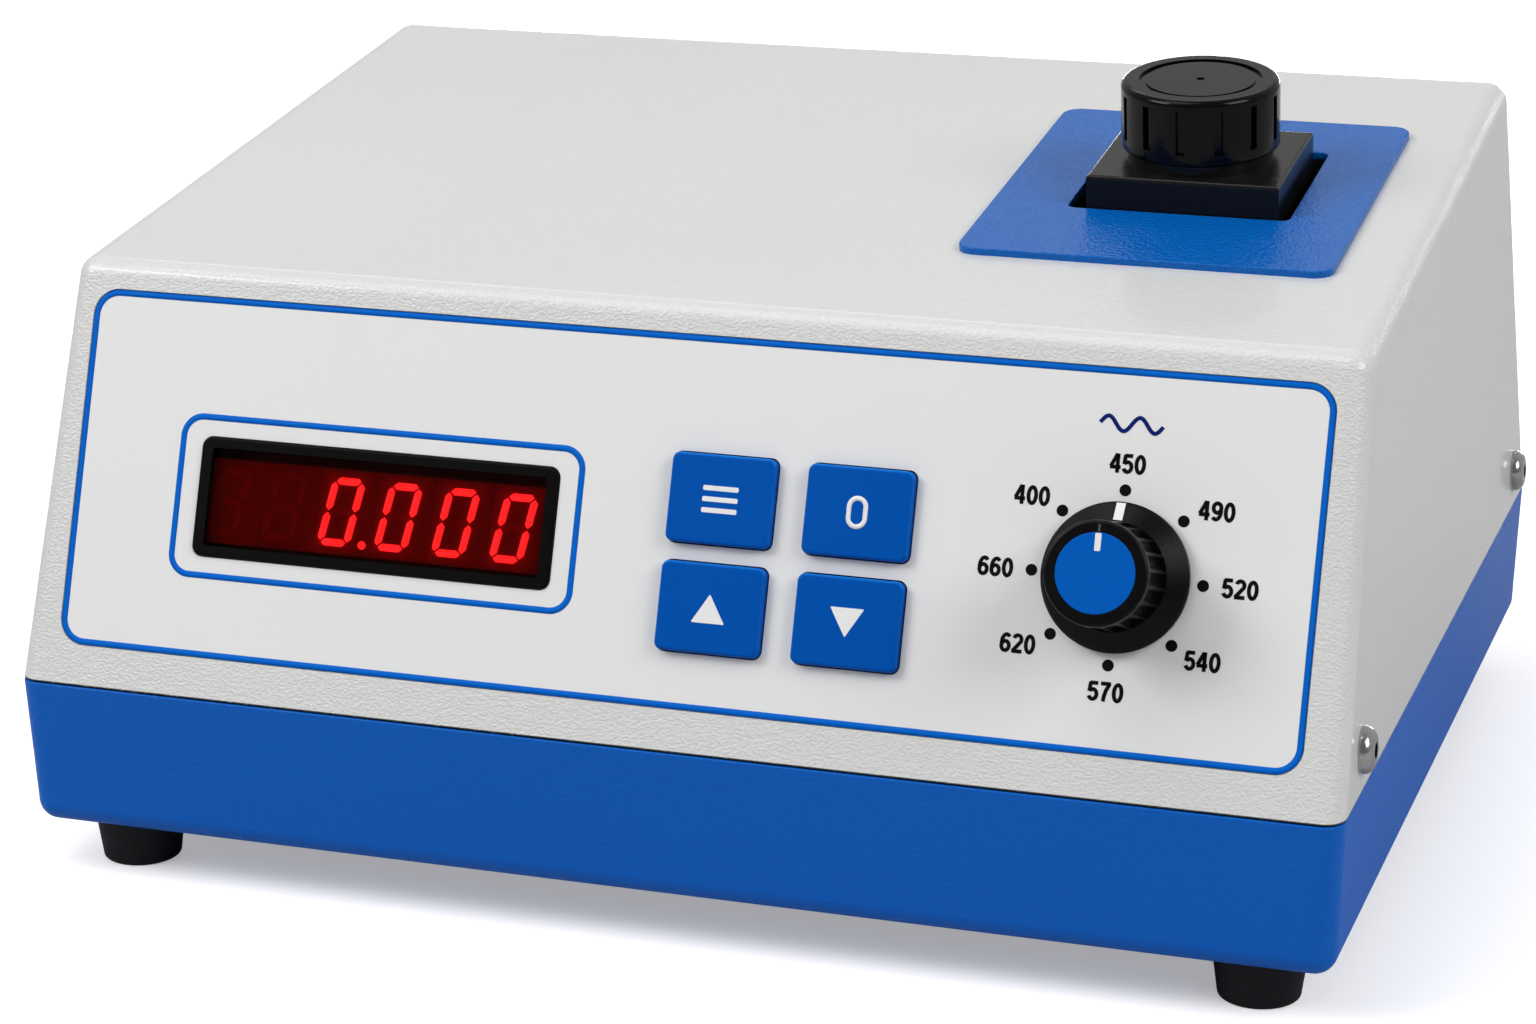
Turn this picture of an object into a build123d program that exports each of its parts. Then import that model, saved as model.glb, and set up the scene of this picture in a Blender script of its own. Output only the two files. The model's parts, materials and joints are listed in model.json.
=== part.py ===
from build123d import *
from math import asin, atan, cos, radians, sin, sqrt, tan
import os

os.makedirs("parts", exist_ok=True)

# Case: two shells that meet at a level seam. Widths and depths are taken at the seam.
case_width = 280.0
case_depth = 235.0
upper_front_height = 84.0
upper_rear_height = 105.0
front_setback = 30.7
rear_setback = 34.0
side_setback = 3.0
lower_height = 32.0
lower_side_setback = 1.1
lower_end_setback = 1.5
wall = 2.6
floor_thickness = 3.0
edge_radius = 4.5
seam_gap = 0.4
seam_break = 0.4
lip_height = 3.5
lip_root = 4.0
lip_sink = 1.0
lip_thickness = 1.6
lip_clearance = 0.25
slip = 0.15
screw_clearance = 0.2
fit_clearance = 0.05

# Feet
foot_height = 11.0
foot_top_radius = 9.7
foot_foot_radius = 8.2
foot_edge = 0.8
foot_side_inset = 18.2
foot_end_inset = 17.0
foot_recess_radius = 4.6
foot_recess_depth = 6.0
foot_boss_radius = 5.0
foot_boss_height = 6.0

# Side screws that hold the shells together
side_screw_radius = 2.5
side_head_radius = 4.75
side_head_height = 2.75
side_head_dome = 2.3
side_socket_width = 3.0
side_socket_depth = 1.6
side_screw_length = 7.5
side_screw_rise = 9.0
side_screw_inset = 20.0
tab_width = 16.0
tab_thickness = 3.2
tab_top = 17.0
tab_root = 14.0

# Screws inside the case
screw_radius = 1.5
screw_head_radius = 2.8
screw_head_height = 2.0
screw_length = 6.0
screw_end_gap = 0.4
post_radius = 3.2
foot_screw_radius = 2.0
foot_screw_head_radius = 3.6
foot_screw_head_height = 2.4
foot_screw_cover = 1.0

# Front panel: overlay, display and keys. U runs across the panel, V up it from the seam.
overlay_side = 8.8
overlay_low = 9.0
overlay_high = 5.83
overlay_corner = 5.5
overlay_thickness = 0.5
overlay_recess = 0.8
display_inset = 76.65
display_v = 42.3
display_width = 79.3
display_height = 24.8
display_corner = 2.2
window_thickness = 1.2
window_corner = 0.8
bezel_proud = 0.6
bezel_side = 2.5
bezel_end = 2.2
bezel_lip = 1.2
bezel_break = 0.5
bezel_skin = 0.9
bezel_flange = 1.8
bezel_flange_thickness = 1.5
digit_count = 6
lit_digits = 4
digit_side_gap = 0.65
digit_gap = 0.1
digit_body_height = 17.6
digit_body_depth = 6.0
digit_drop = 0.5
digit_height = 14.2
digit_width = 7.4
digit_slant = 10.0
digit_offset = 0.6
digit_v = -0.6
segment_shift = 1.1
segment_width = 1.5
segment_space = 0.25
segment_rise = 0.2
decimal_radius = 0.85
decimal_v = -6.4
key_width = 21.7
key_height = 17.9
key_corner = 1.6
key_bevel = 0.7
key_proud = 2.2
key_clearance = 0.3
key_lip = 0.9
key_lip_thickness = 1.2
key_travel = 0.8
key_u = 25.45
key_v = 40.3
key_pitch_u = 28.4
key_pitch_v = 21.65
key_stem_radius = 1.6
switch_width = 6.0
key_gap = 1.3
switch_bore_clearance = 0.25
switch_bore_depth = 2.6
stem_end_clearance = 0.4
board_thickness = 1.6
board_margin = 9.0
post_inset = 3.5

# Filter selector: knob, shaft, wheel and eight filters
knob_inset = 47.95
knob_v = 43.25
knob_stand = 0.9
skirt_radius = 14.6
skirt_rim = 1.0
skirt_break = 0.5
skirt_height = 3.4
grip_root_radius = 10.7
grip_top_radius = 10.1
knob_height = 17.8
knob_edge = 0.7
flute_count = 20
flute_radius = 1.5
flute_depth = 0.55
flute_rim = 1.8
knob_cavity_radius = 8.8
knob_cavity_depth = 3.9
insert_radius = 7.75
insert_thickness = 1.0
insert_proud = 0.15
insert_break = 0.2
knob_bore_depth = 12.5
shaft_radius = 3.0
shaft_end_gap = 0.5
bushing_radius = 4.75
bushing_flange_radius = 7.5
bushing_flange_thickness = 3.0
bushing_front = 3.0
bushing_tail = 6.0
bushing_tail_radius = 5.5
nut_width = 14.0
nut_thickness = 2.3
grub_radius = 1.5
grub_length = 4.5
grub_rise = 8.0
wheel_depth = 72.0
wheel_radius = 32.0
wheel_thickness = 5.0
wheel_hub_radius = 8.0
wheel_hub_length = 6.0
wheel_hole_radius = 5.0
filter_count = 8
filter_radius = 6.0
filter_thickness = 3.0
filter_pitch_radius = 23.0
notch_radius = 2.2
notch_depth = 1.2
shaft_tail = 3.0
bracket_depth = 58.0
bracket_width = 44.0
bracket_thickness = 2.0
bracket_top = 30.0
bracket_foot = 20.0
bearing_radius = 5.0
bearing_flange_radius = 6.4
bearing_flange_thickness = 1.5
bearing_tail = 2.0
detent_width = 6.0
detent_thickness = 0.5
detent_bump_radius = 2.0
detent_clearance = 0.3
detent_foot = 9.0
detent_overhang = 3.0

# Detector on the wheel bracket
detector_board_size = 20.0
detector_can_radius = 4.1
detector_can_length = 4.0
detector_brim_radius = 4.6
detector_brim_length = 0.8
detector_screw_offset = 6.5

# Sample holder, its plate and its cap. S runs back along the sloping top.
well_inset = 55.15
well_s = 84.7
well_radius = 6.3
well_length = 97.0
head_width = 40.7
head_depth = 36.0
head_height = 8.5
head_root = 16.0
head_edge = 0.8
collar_flange_radius = 15.2
collar_flange_height = 2.4
collar_radius = 12.7
collar_height = 3.0
pedestal_width = 30.0
pedestal_top = 8.0
well_wall = 4.2
plate_width = 77.6
plate_depth = 91.6
plate_thickness = 1.5
plate_corner = 4.0
plate_shift_x = -2.05
plate_shift_s = -0.5
plate_edge = 0.3
hole_width = 46.8
hole_depth = 43.6
hole_corner = 1.8
hole_shift_x = -0.95
hole_shift_s = 3.3
cap_radius = 16.6
cap_height = 14.2
cap_wall = 3.4
cap_roof = 3.2
cap_edge = 1.4
cap_base_edge = 0.6
cap_groove_count = 13
cap_turn = -9.0
cap_groove_width = 1.9
cap_groove_depth = 0.9
cap_groove_base = 2.6
cap_groove_top = 2.2
cap_recess_radius = 12.8
cap_recess_depth = 0.5
cap_disc_radius = 11.5
cap_disc_rise = 0.3
gate_radius = 0.9
seal_thickness = 1.2
seal_clearance = 0.1
beam_radius = 3.5
lens_radius = 7.0
lens_edge = 1.6
lens_bulge = 2.0
lens_seat_depth = 4.5

# Optics plate, lamp and its bracket
optics_post_height = 5.0
optics_plate_thickness = 2.0
optics_plate_width = 78.0
optics_plate_inset = 53.0
optics_margin_front = 2.4
optics_margin_rear = 5.6
foot_screw_spread = 28.0
block_screw_spread = 18.0
lamp_bracket_gap = 29.0
lamp_bracket_width = 32.0
lamp_bracket_rise = 16.0
lamp_foot = 20.0
lamp_screw_spread = 20.0
holder_radius = 8.0
holder_length = 20.0
holder_flange_radius = 10.0
holder_flange_thickness = 2.0
holder_bore_radius = 5.0
lamp_base_radius = 4.9
lamp_base_length = 10.0
lamp_glass_radius = 5.6
lamp_neck_radius = 3.8
lamp_neck = 7.0

# Main board, its parts and the transformer
board_gap_left = 5.0
board_gap_right = 18.0
board_front = 70.0
board_rear_inset = 35.0
board_post_height = 6.0
transformer_inset = 43.0
transformer_rear_inset = 75.0
core_width = 48.0
core_height = 40.0
core_stack = 18.0
core_leg = 8.0
core_base_width = 64.0
core_base_thickness = 2.0
coil_depth = 34.0
coil_clearance = 0.2
pad_height = 3.0
pad_radius = 5.0
ribbon_width = 20.0
ribbon_thickness = 1.0
ribbon_shift = -5.0
ribbon_v = 26.0
ribbon_reach = 14.0
ribbon_drop = 18.0
ribbon_bend = 6.0
ribbon_setin = 9.0
header_width = 24.0
header_depth = 7.0
header_height = 7.0
chip_width = 8.0
chip_length = 20.0
chip_height = 3.5
chip_count = 4
chip_setin = 40.0
capacitor_radius = 6.5
capacitor_height = 20.0
capacitor_count = 3
capacitor_pitch = 20.0
capacitor_rear = 30.0
sink_width = 30.0
sink_depth = 12.0
sink_height = 24.0
sink_rear = 12.0

# Rear of the lower shell: mains inlet and power switch
rear_drop = 14.3
inlet_inset = 50.0
inlet_cut_width = 27.4
inlet_cut_height = 20.0
inlet_flange_width = 31.0
inlet_flange_height = 23.6
inlet_flange_thickness = 2.0
inlet_socket_width = 24.4
inlet_socket_height = 16.6
inlet_socket_depth = 15.0
inlet_body_depth = 18.0
inlet_corner = 3.0
inlet_chamfer = 4.0
pin_width = 2.0
pin_height = 4.0
pin_length = 13.0
pin_pitch = 7.0
pin_rise = 2.0
tag_length = 8.0
switch_spacing = 45.0
rocker_width = 13.0
rocker_radius = 8.2
rocker_face = 4.6
rocker_angle = 8.0
rocker_back = 4.0
rocker_clearance = 0.3
rocker_pin_radius = 1.5
rocker_pin_length = 1.2
rocker_inset = 2.4
housing_wall = 1.2
housing_flange = 2.0
housing_flange_thickness = 1.8
vent_count = 11
vent_pitch = 9.0
vent_length = 32.0
vent_width = 3.0
vent_rise = 62.0

# Angles of the walls, in radians, and the planes that the pieces are set on
front_lean = atan(front_setback / upper_front_height)
rear_lean = atan(rear_setback / upper_rear_height)
side_lean = atan(side_setback / upper_front_height)
lower_side_lean = atan(lower_side_setback / lower_height)
lower_end_lean = atan(lower_end_setback / lower_height)
top_depth = case_depth - front_setback - rear_setback
top_slope = atan((upper_rear_height - upper_front_height) / top_depth)
seam_z = foot_height + lower_height
floor_z = foot_height + floor_thickness

# The knob's lower front rim is the foremost point and the switch's lower end the rearmost.
# The object's middle, halfway between them, is at Y = 0.
overlay_front = overlay_thickness - overlay_recess
knob_base = overlay_front + knob_stand
knob_top = knob_base + knob_height
rim_support = (grip_top_radius - knob_edge) * sin(front_lean) + (knob_top - knob_edge) * cos(front_lean)
front_reach = rim_support + knob_edge - knob_v * sin(front_lean)
rocker_tilt = radians(rocker_angle)
rocker_slope = tan(rocker_tilt)
rocker_root = rocker_radius**2 * (1 + rocker_slope**2) - rocker_face**2
rocker_tip_up = (sqrt(rocker_root) - rocker_face * rocker_slope) / (1 + rocker_slope**2)
rocker_tip_out = rocker_face + rocker_tip_up * rocker_slope
tip_out = rocker_tip_out * cos(rocker_tilt) + rocker_tip_up * sin(rocker_tilt) - rocker_inset
tip_down = rear_drop + rocker_tip_up * cos(rocker_tilt) - rocker_tip_out * sin(rocker_tilt)
rear_reach = tip_out * cos(lower_end_lean) - tip_down * sin(lower_end_lean)
front_y = -(case_depth + rear_reach + front_reach) / 2 + front_reach
rear_y = front_y + case_depth

panel = Plane(
    origin=(0, front_y, seam_z), x_dir=(1, 0, 0), z_dir=(0, -cos(front_lean), sin(front_lean))
)
top = Plane(
    origin=(0, front_y + front_setback, seam_z + upper_front_height),
    x_dir=(1, 0, 0),
    z_dir=(0, -sin(top_slope), cos(top_slope)),
)
upper_rear = Plane(
    origin=(0, rear_y, seam_z), x_dir=(-1, 0, 0), z_dir=(0, cos(rear_lean), sin(rear_lean))
)
lower_rear = Plane(
    origin=(0, rear_y, seam_z), x_dir=(-1, 0, 0), z_dir=(0, cos(lower_end_lean), -sin(lower_end_lean))
)
right_side = Plane(
    origin=(case_width / 2, front_y, seam_z), x_dir=(0, 1, 0), z_dir=(cos(side_lean), 0, sin(side_lean))
)
left_side = Plane(
    origin=(-case_width / 2, rear_y, seam_z), x_dir=(0, -1, 0), z_dir=(-cos(side_lean), 0, sin(side_lean))
)


def upper_form(inset, start, finish):
    # Drafted block of the upper shell with every face moved inwards by inset
    with BuildPart() as form:
        for level in (start, finish):
            front = front_y + level * tan(front_lean) + inset / cos(front_lean)
            rear = rear_y - level * tan(rear_lean) - inset / cos(rear_lean)
            width = case_width - 2 * (level * tan(side_lean) + inset / cos(side_lean))
            with BuildSketch(Plane.XY.offset(seam_z + level)):
                with Locations((0, (front + rear) / 2)):
                    Rectangle(width, rear - front)
        loft(ruled=True)
        if finish > upper_front_height:
            split(bisect_by=top.offset(-inset), keep=Keep.BOTTOM)
    return form.part


def lower_form(inset, start, finish):
    # Drafted block of the lower shell, from start up to finish, both measured from the seam
    with BuildPart() as form:
        for level in (start, finish):
            end = -level * tan(lower_end_lean) + inset / cos(lower_end_lean)
            side = -level * tan(lower_side_lean) + inset / cos(lower_side_lean)
            with BuildSketch(Plane.XY.offset(seam_z + level)):
                with Locations((0, case_middle)):
                    Rectangle(case_width - 2 * side, case_depth - 2 * end)
        loft(ruled=True)
    return form.part


def corners(part):
    # The four upright corner edges of a drafted block
    return part.edges().filter_by(lambda edge: abs(edge.tangent_at(0.5).Z) > 0.5)


def at(base, u, v, out=0.0):
    # Plane parallel to base, centred on a point of it
    return Plane(origin=base.from_local_coords((u, v, out)), x_dir=base.x_dir, z_dir=base.z_dir)


def section(base):
    # Plane through the normal of base: its X is across and its Y is along that normal
    return Plane(origin=base.origin, x_dir=base.x_dir, z_dir=base.x_dir.cross(base.z_dir))


def crest(part, base):
    # The edges that lie furthest out along the normal of base
    return part.edges().group_by(Axis(base.origin, base.z_dir), tol_digits=3)[-1]


def around(x, y, pitch_x, pitch_y):
    # The four corners of a rectangle centred on a point
    return [(x + i * pitch_x / 2, y + j * pitch_y / 2) for j in (-1, 1) for i in (-1, 1)]


# Places that several pieces share
case_middle = (front_y + rear_y) / 2
panel_height = sqrt(front_setback**2 + upper_front_height**2)
overlay_width = case_width - 2 * overlay_side
overlay_height = panel_height - overlay_low - overlay_high
overlay_v = overlay_low + overlay_height / 2
display_u = display_inset - case_width / 2
window_width = display_width - 2 * bezel_side
window_height = display_height - 2 * bezel_end
digit_pitch = (display_width - 2 * (bezel_skin + digit_side_gap)) / digit_count
knob_u = case_width / 2 - knob_inset
well_x = case_width / 2 - well_inset
plate_x, plate_s = well_x + plate_shift_x, well_s + plate_shift_s
hole_x, hole_s = well_x + hole_shift_x, well_s + hole_shift_s
inlet_x = inlet_inset - case_width / 2
switch_x = inlet_x + switch_spacing
transformer_x = transformer_inset - case_width / 2
optics_plate_x = case_width / 2 - optics_plate_inset
foot_places = around(0, case_middle, case_width - 2 * foot_side_inset, case_depth - 2 * foot_end_inset)
foot_screw_reach = floor_thickness + foot_boss_height - foot_screw_cover
side_screw_pitch = case_depth - 2 * side_screw_inset
side_places = [
    (case_depth / 2 - side_screw_pitch / 2, side_screw_rise),
    (case_depth / 2 + side_screw_pitch / 2, side_screw_rise),
]
key_names = ["key_mode", "key_zero", "key_up", "key_down"]
key_places = [
    (key_u - key_pitch_u / 2, key_v + key_pitch_v / 2),
    (key_u + key_pitch_u / 2, key_v + key_pitch_v / 2),
    (key_u - key_pitch_u / 2, key_v - key_pitch_v / 2),
    (key_u + key_pitch_u / 2, key_v - key_pitch_v / 2),
]
display = at(panel, display_u, display_v)
bezel_front = overlay_front + bezel_proud
window_front = bezel_front - bezel_lip
digit_face = window_front - window_thickness - digit_drop
board_face = digit_face - digit_body_depth
board_back = board_face - board_thickness
key_back = -wall - key_lip_thickness
switch_front = key_back - key_gap
stem_length = key_gap + switch_bore_depth - key_travel - stem_end_clearance
board_left = display_u - display_width / 2 - board_margin
board_right = key_u + key_pitch_u / 2 + key_width / 2 + board_margin
board_span = board_right - board_left
board_rise = key_pitch_v + key_height + 2 * key_lip + post_inset
front_board = at(panel, (board_left + board_right) / 2, key_v)
front_posts = around(0, 0, board_span - 2 * post_inset, board_rise - 2 * post_inset)
board_hole_depth = screw_length - board_thickness + screw_end_gap
plate_z = floor_z + optics_post_height
plate_top = plate_z + optics_plate_thickness
plate_hole_depth = screw_length - optics_plate_thickness + screw_end_gap
main_z = floor_z + board_post_height
main_top = main_z + board_thickness
main_left = transformer_x + core_base_width / 2 + board_gap_left
main_right = optics_plate_x - optics_plate_width / 2 - board_gap_right
board_x = (main_left + main_right) / 2
board_width = main_right - main_left
board_depth = case_depth - board_front - board_rear_inset
board_edge = front_y + board_front
main_y = board_edge + board_depth / 2
main_posts = around(board_x, main_y, board_width - 2 * post_inset, board_depth - 2 * post_inset)
core_y = rear_y - transformer_rear_inset
core_z = floor_z + pad_height + core_base_thickness
core_ear = (core_width + core_base_width) / 4
core_screws = [(transformer_x - core_ear, core_y), (transformer_x + core_ear, core_y)]
knob_axis = at(panel, knob_u, knob_v)
knob_grub = Plane(
    origin=knob_axis.from_local_coords((0, 0, knob_base + grub_rise)),
    x_dir=knob_axis.x_dir,
    z_dir=-knob_axis.y_dir,
)
wheel_front = -(wheel_depth - wheel_thickness / 2)
wheel_back = -(wheel_depth + wheel_thickness / 2)
wheel_grub = Plane(
    origin=knob_axis.from_local_coords((0, 0, wheel_front + wheel_hub_length / 2)),
    x_dir=knob_axis.x_dir,
    z_dir=-knob_axis.y_dir,
)
bracket_front = -bracket_depth
bracket_back = -bracket_depth - bracket_thickness
detent_rise = -(wheel_radius + detent_clearance + detent_bump_radius)
detent_seat = Plane(
    origin=knob_axis.from_local_coords((0, detent_rise + detent_foot / 2, bracket_back)),
    x_dir=knob_axis.x_dir,
    z_dir=-knob_axis.z_dir,
)
knob_point = knob_axis.origin
lean_cos, lean_sin = cos(front_lean), sin(front_lean)


def bracket_point(depth, level):
    # Where a plane parallel to the panel, at that depth behind the knob, reaches a level
    rise = (level - knob_point.Z + depth * lean_sin) / lean_cos
    return (knob_point.Y + depth * lean_cos + rise * lean_sin, level)


bracket_heel = bracket_point(bracket_depth, plate_top + bracket_thickness)
bracket_foot_y = bracket_heel[0] - bracket_foot / 2
bracket_screws = [(knob_u + side * foot_screw_spread / 2, bracket_foot_y) for side in (-1, 1)]
well = at(top, well_x, well_s)

# The beam is level. It crosses the wheel off the top, where a filter lines up with the well.
beam_turn = asin((well_x - knob_u) / filter_pitch_radius)
beam_up = filter_pitch_radius * cos(beam_turn)
beam_z = knob_axis.from_local_coords((0, beam_up, -wheel_depth)).Z
bracket_z = knob_axis.from_local_coords((0, 0, -bracket_depth)).Z
detector = at(knob_axis, well_x - knob_u, (beam_z - bracket_z) / cos(front_lean), bracket_front)
detector_screws = [(side * detector_screw_offset, side * detector_screw_offset) for side in (-1, 1)]
collar_top = head_height + collar_flange_height + collar_height
well_floor = collar_top - well_length
pedestal_front = well.from_local_coords((0, -well_radius - well_wall, -pedestal_top)).Y
pedestal_rear = well.from_local_coords((0, well_radius + well_wall, well_floor)).Y
pedestal_y = (pedestal_front + pedestal_rear) / 2
block_screws = [(well_x + side * block_screw_spread / 2, pedestal_y) for side in (-1, 1)]
lamp_y = pedestal_rear + lamp_bracket_gap
lamp_foot_y = lamp_y + (lamp_foot + bracket_thickness) / 2
lamp_screws = [(well_x + side * lamp_screw_spread / 2, lamp_foot_y) for side in (-1, 1)]
plate_front = bracket_heel[0] - bracket_foot - optics_margin_front
plate_rear = lamp_y + lamp_foot + optics_margin_rear
plate_y = (plate_front + plate_rear) / 2
plate_length = plate_rear - plate_front
plate_posts = around(
    optics_plate_x, plate_y, optics_plate_width - 2 * post_inset, plate_length - 2 * post_inset
)
cap_base = head_height + collar_flange_height
cap_inner_radius = cap_radius - cap_wall
cap_ceiling = cap_base + cap_height - cap_roof
inlet = at(lower_rear, -inlet_x, -rear_drop)
rocker_seat = at(lower_rear, -switch_x, -rear_drop)
rocker_pivot = at(rocker_seat, 0, 0, -rocker_inset)
housing_inner = (rocker_width + 2 * rocker_clearance, 2 * (rocker_radius + rocker_clearance))
housing_outer = (housing_inner[0] + 2 * housing_wall, housing_inner[1] + 2 * housing_wall)
housing_depth = rocker_inset + rocker_radius + rocker_clearance + housing_wall

# Upper shell
upper_outer = upper_form(0, seam_gap, upper_rear_height + wall)
upper_inner = upper_form(wall, -wall, upper_rear_height + wall)
with BuildPart() as upper_shell:
    add(upper_outer)
    crown = upper_shell.faces().sort_by(Axis.Z)[-1].edges()
    fillet(list(corners(upper_shell.part)) + list(crown), edge_radius)
    add(upper_inner, mode=Mode.SUBTRACT)
    with BuildSketch(panel.offset(-overlay_recess)):
        with Locations((0, overlay_v)):
            RectangleRounded(overlay_width + 2 * slip, overlay_height + 2 * slip, overlay_corner + slip)
    extrude(amount=overlay_recess + wall, mode=Mode.SUBTRACT)
    with BuildSketch(panel):
        with Locations((display_u, display_v)):
            RectangleRounded(display_width + 2 * slip, display_height + 2 * slip, display_corner + slip)
        with Locations(*key_places):
            RectangleRounded(
                key_width + 2 * key_clearance, key_height + 2 * key_clearance, key_corner + key_clearance
            )
        with Locations((knob_u, knob_v)):
            Circle(bushing_radius + slip)
    extrude(amount=-2 * wall, mode=Mode.SUBTRACT)
    with BuildSketch(top):
        with Locations((hole_x, hole_s)):
            RectangleRounded(hole_width, hole_depth, hole_corner)
    extrude(amount=-2 * wall, mode=Mode.SUBTRACT)
    with BuildSketch(upper_rear):
        with Locations((0, vent_rise)):
            with GridLocations(vent_pitch, 1, vent_count, 1):
                SlotOverall(vent_length, vent_width, rotation=90)
    extrude(amount=-2 * wall, mode=Mode.SUBTRACT)
    for side in (right_side, left_side):
        with BuildSketch(side):
            with Locations(*side_places):
                Circle(side_screw_radius + screw_clearance)
        extrude(amount=-2 * wall, mode=Mode.SUBTRACT)
    with BuildSketch(front_board.offset(-wall)):
        with Locations(*front_posts):
            Circle(post_radius)
    extrude(amount=board_face + wall)
    with BuildSketch(front_board.offset(board_face)):
        with Locations(*front_posts):
            Circle(screw_radius + fit_clearance)
    extrude(amount=board_hole_depth, mode=Mode.SUBTRACT)
upper_shell.part.label = "upper_shell"
export_step(upper_shell.part, "parts/upper_shell.step")

# Lower shell: a tray with a lip, four tabs for the side screws, and posts on its floor
lower_outer = lower_form(0, -lower_height, 0)
lower_inner = lower_form(wall, floor_thickness - lower_height, wall)
lip_inset = wall + lip_clearance + lip_thickness
root_outer = lower_form(wall / 2, -lip_root, 0)
root_inner = lower_form(lip_inset, -lip_root - wall, 0)
with BuildPart() as lip:
    add(upper_form(wall + lip_clearance, -lip_sink, lip_height))
    add(upper_form(lip_inset, -lip_sink - wall, lip_height + wall), mode=Mode.SUBTRACT)
with BuildPart() as lower_shell:
    add(lower_outer)
    base_edges = lower_shell.faces().sort_by(Axis.Z)[0].edges()
    fillet(list(corners(lower_shell.part)) + list(base_edges), edge_radius)
    fillet(lower_shell.faces().sort_by(Axis.Z)[-1].edges(), seam_break)
    add(lower_inner, mode=Mode.SUBTRACT)
    add(root_outer)
    add(root_inner, mode=Mode.SUBTRACT)
    add(lip.part)
    for side in (right_side, left_side):
        with BuildSketch(side.offset(-wall - slip)):
            with Locations(*[(y, (tab_top - tab_root) / 2) for y, rise in side_places]):
                Rectangle(tab_width, tab_top + tab_root)
        extrude(amount=-tab_thickness)
        with BuildSketch(side):
            with Locations(*side_places):
                Circle(side_screw_radius + fit_clearance)
        extrude(amount=-3 * wall - tab_thickness, mode=Mode.SUBTRACT)
    post_rows = [
        (foot_places, foot_boss_radius, foot_boss_height),
        (plate_posts, post_radius, optics_post_height),
        (main_posts, post_radius, board_post_height),
        (core_screws, pad_radius, pad_height),
    ]
    for places, radius, height in post_rows:
        with BuildSketch(Plane.XY.offset(floor_z)):
            with Locations(*places):
                Circle(radius)
        extrude(amount=height)
    with BuildSketch(Plane.XY.offset(foot_height)):
        with Locations(*foot_places):
            Circle(foot_screw_radius + fit_clearance)
    extrude(amount=foot_screw_reach, mode=Mode.SUBTRACT)
    hole_rows = [
        (plate_posts, plate_z, plate_hole_depth),
        (main_posts, main_z, board_hole_depth),
        (core_screws, floor_z + pad_height, screw_length - core_base_thickness + screw_end_gap),
    ]
    for places, level, depth in hole_rows:
        with BuildSketch(Plane.XY.offset(level)):
            with Locations(*places):
                Circle(screw_radius + fit_clearance)
        extrude(amount=-depth, mode=Mode.SUBTRACT)
    with BuildSketch(inlet):
        Rectangle(inlet_cut_width + 2 * slip, inlet_cut_height + 2 * slip)
    extrude(amount=-2 * wall, mode=Mode.SUBTRACT)
    with BuildSketch(rocker_seat):
        Rectangle(housing_outer[0] + 2 * slip, housing_outer[1] + 2 * slip)
    extrude(amount=-2 * wall, mode=Mode.SUBTRACT)
lower_shell.part.label = "lower_shell"
export_step(lower_shell.part, "parts/lower_shell.step")

# Four rubber feet, each held by a screw up through its recess
foot_names = ["foot_front_left", "foot_front_right", "foot_rear_left", "foot_rear_right"]
for name, place in zip(foot_names, foot_places):
    with BuildPart() as foot:
        for level, radius in ((0, foot_foot_radius), (foot_height, foot_top_radius)):
            with BuildSketch(Plane.XY.offset(level)):
                with Locations(place):
                    Circle(radius)
        loft()
        fillet(foot.edges().group_by(Axis.Z)[0], foot_edge)
        with BuildSketch(Plane.XY):
            with Locations(place):
                Circle(foot_recess_radius)
        extrude(amount=foot_recess_depth, mode=Mode.SUBTRACT)
        with BuildSketch(Plane.XY):
            with Locations(place):
                Circle(foot_screw_radius + screw_clearance)
        extrude(amount=foot_height, mode=Mode.SUBTRACT)
    foot.part.label = name
    export_step(foot.part, f"parts/{name}.step")

with BuildPart() as foot_screws:
    with BuildSketch(Plane.XY.offset(foot_recess_depth)):
        with Locations(*foot_places):
            Circle(foot_screw_radius)
    extrude(amount=foot_height - foot_recess_depth + foot_screw_reach - screw_clearance)
    with BuildSketch(Plane.XY.offset(foot_recess_depth)):
        with Locations(*foot_places):
            Circle(foot_screw_head_radius)
    extrude(amount=-foot_screw_head_height)
foot_screws.part.label = "foot_screws"
export_step(foot_screws.part, "parts/foot_screws.step")

# Button-head screws through the upper shell's sides into the lower shell's tabs
with BuildPart() as side_screws:
    for side in (right_side, left_side):
        with BuildSketch(side):
            with Locations(*side_places):
                Circle(side_head_radius)
        extrude(amount=side_head_height)
        fillet(crest(side_screws.part, side), side_head_dome)
    for side in (right_side, left_side):
        with BuildSketch(side.offset(side_head_height)):
            with Locations(*side_places):
                RegularPolygon(side_socket_width / 2, 6, major_radius=False)
        extrude(amount=-side_socket_depth, mode=Mode.SUBTRACT)
        with BuildSketch(side):
            with Locations(*side_places):
                Circle(side_screw_radius)
        extrude(amount=-side_screw_length)
side_screws.part.label = "side_screws"
export_step(side_screws.part, "parts/side_screws.step")

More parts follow.
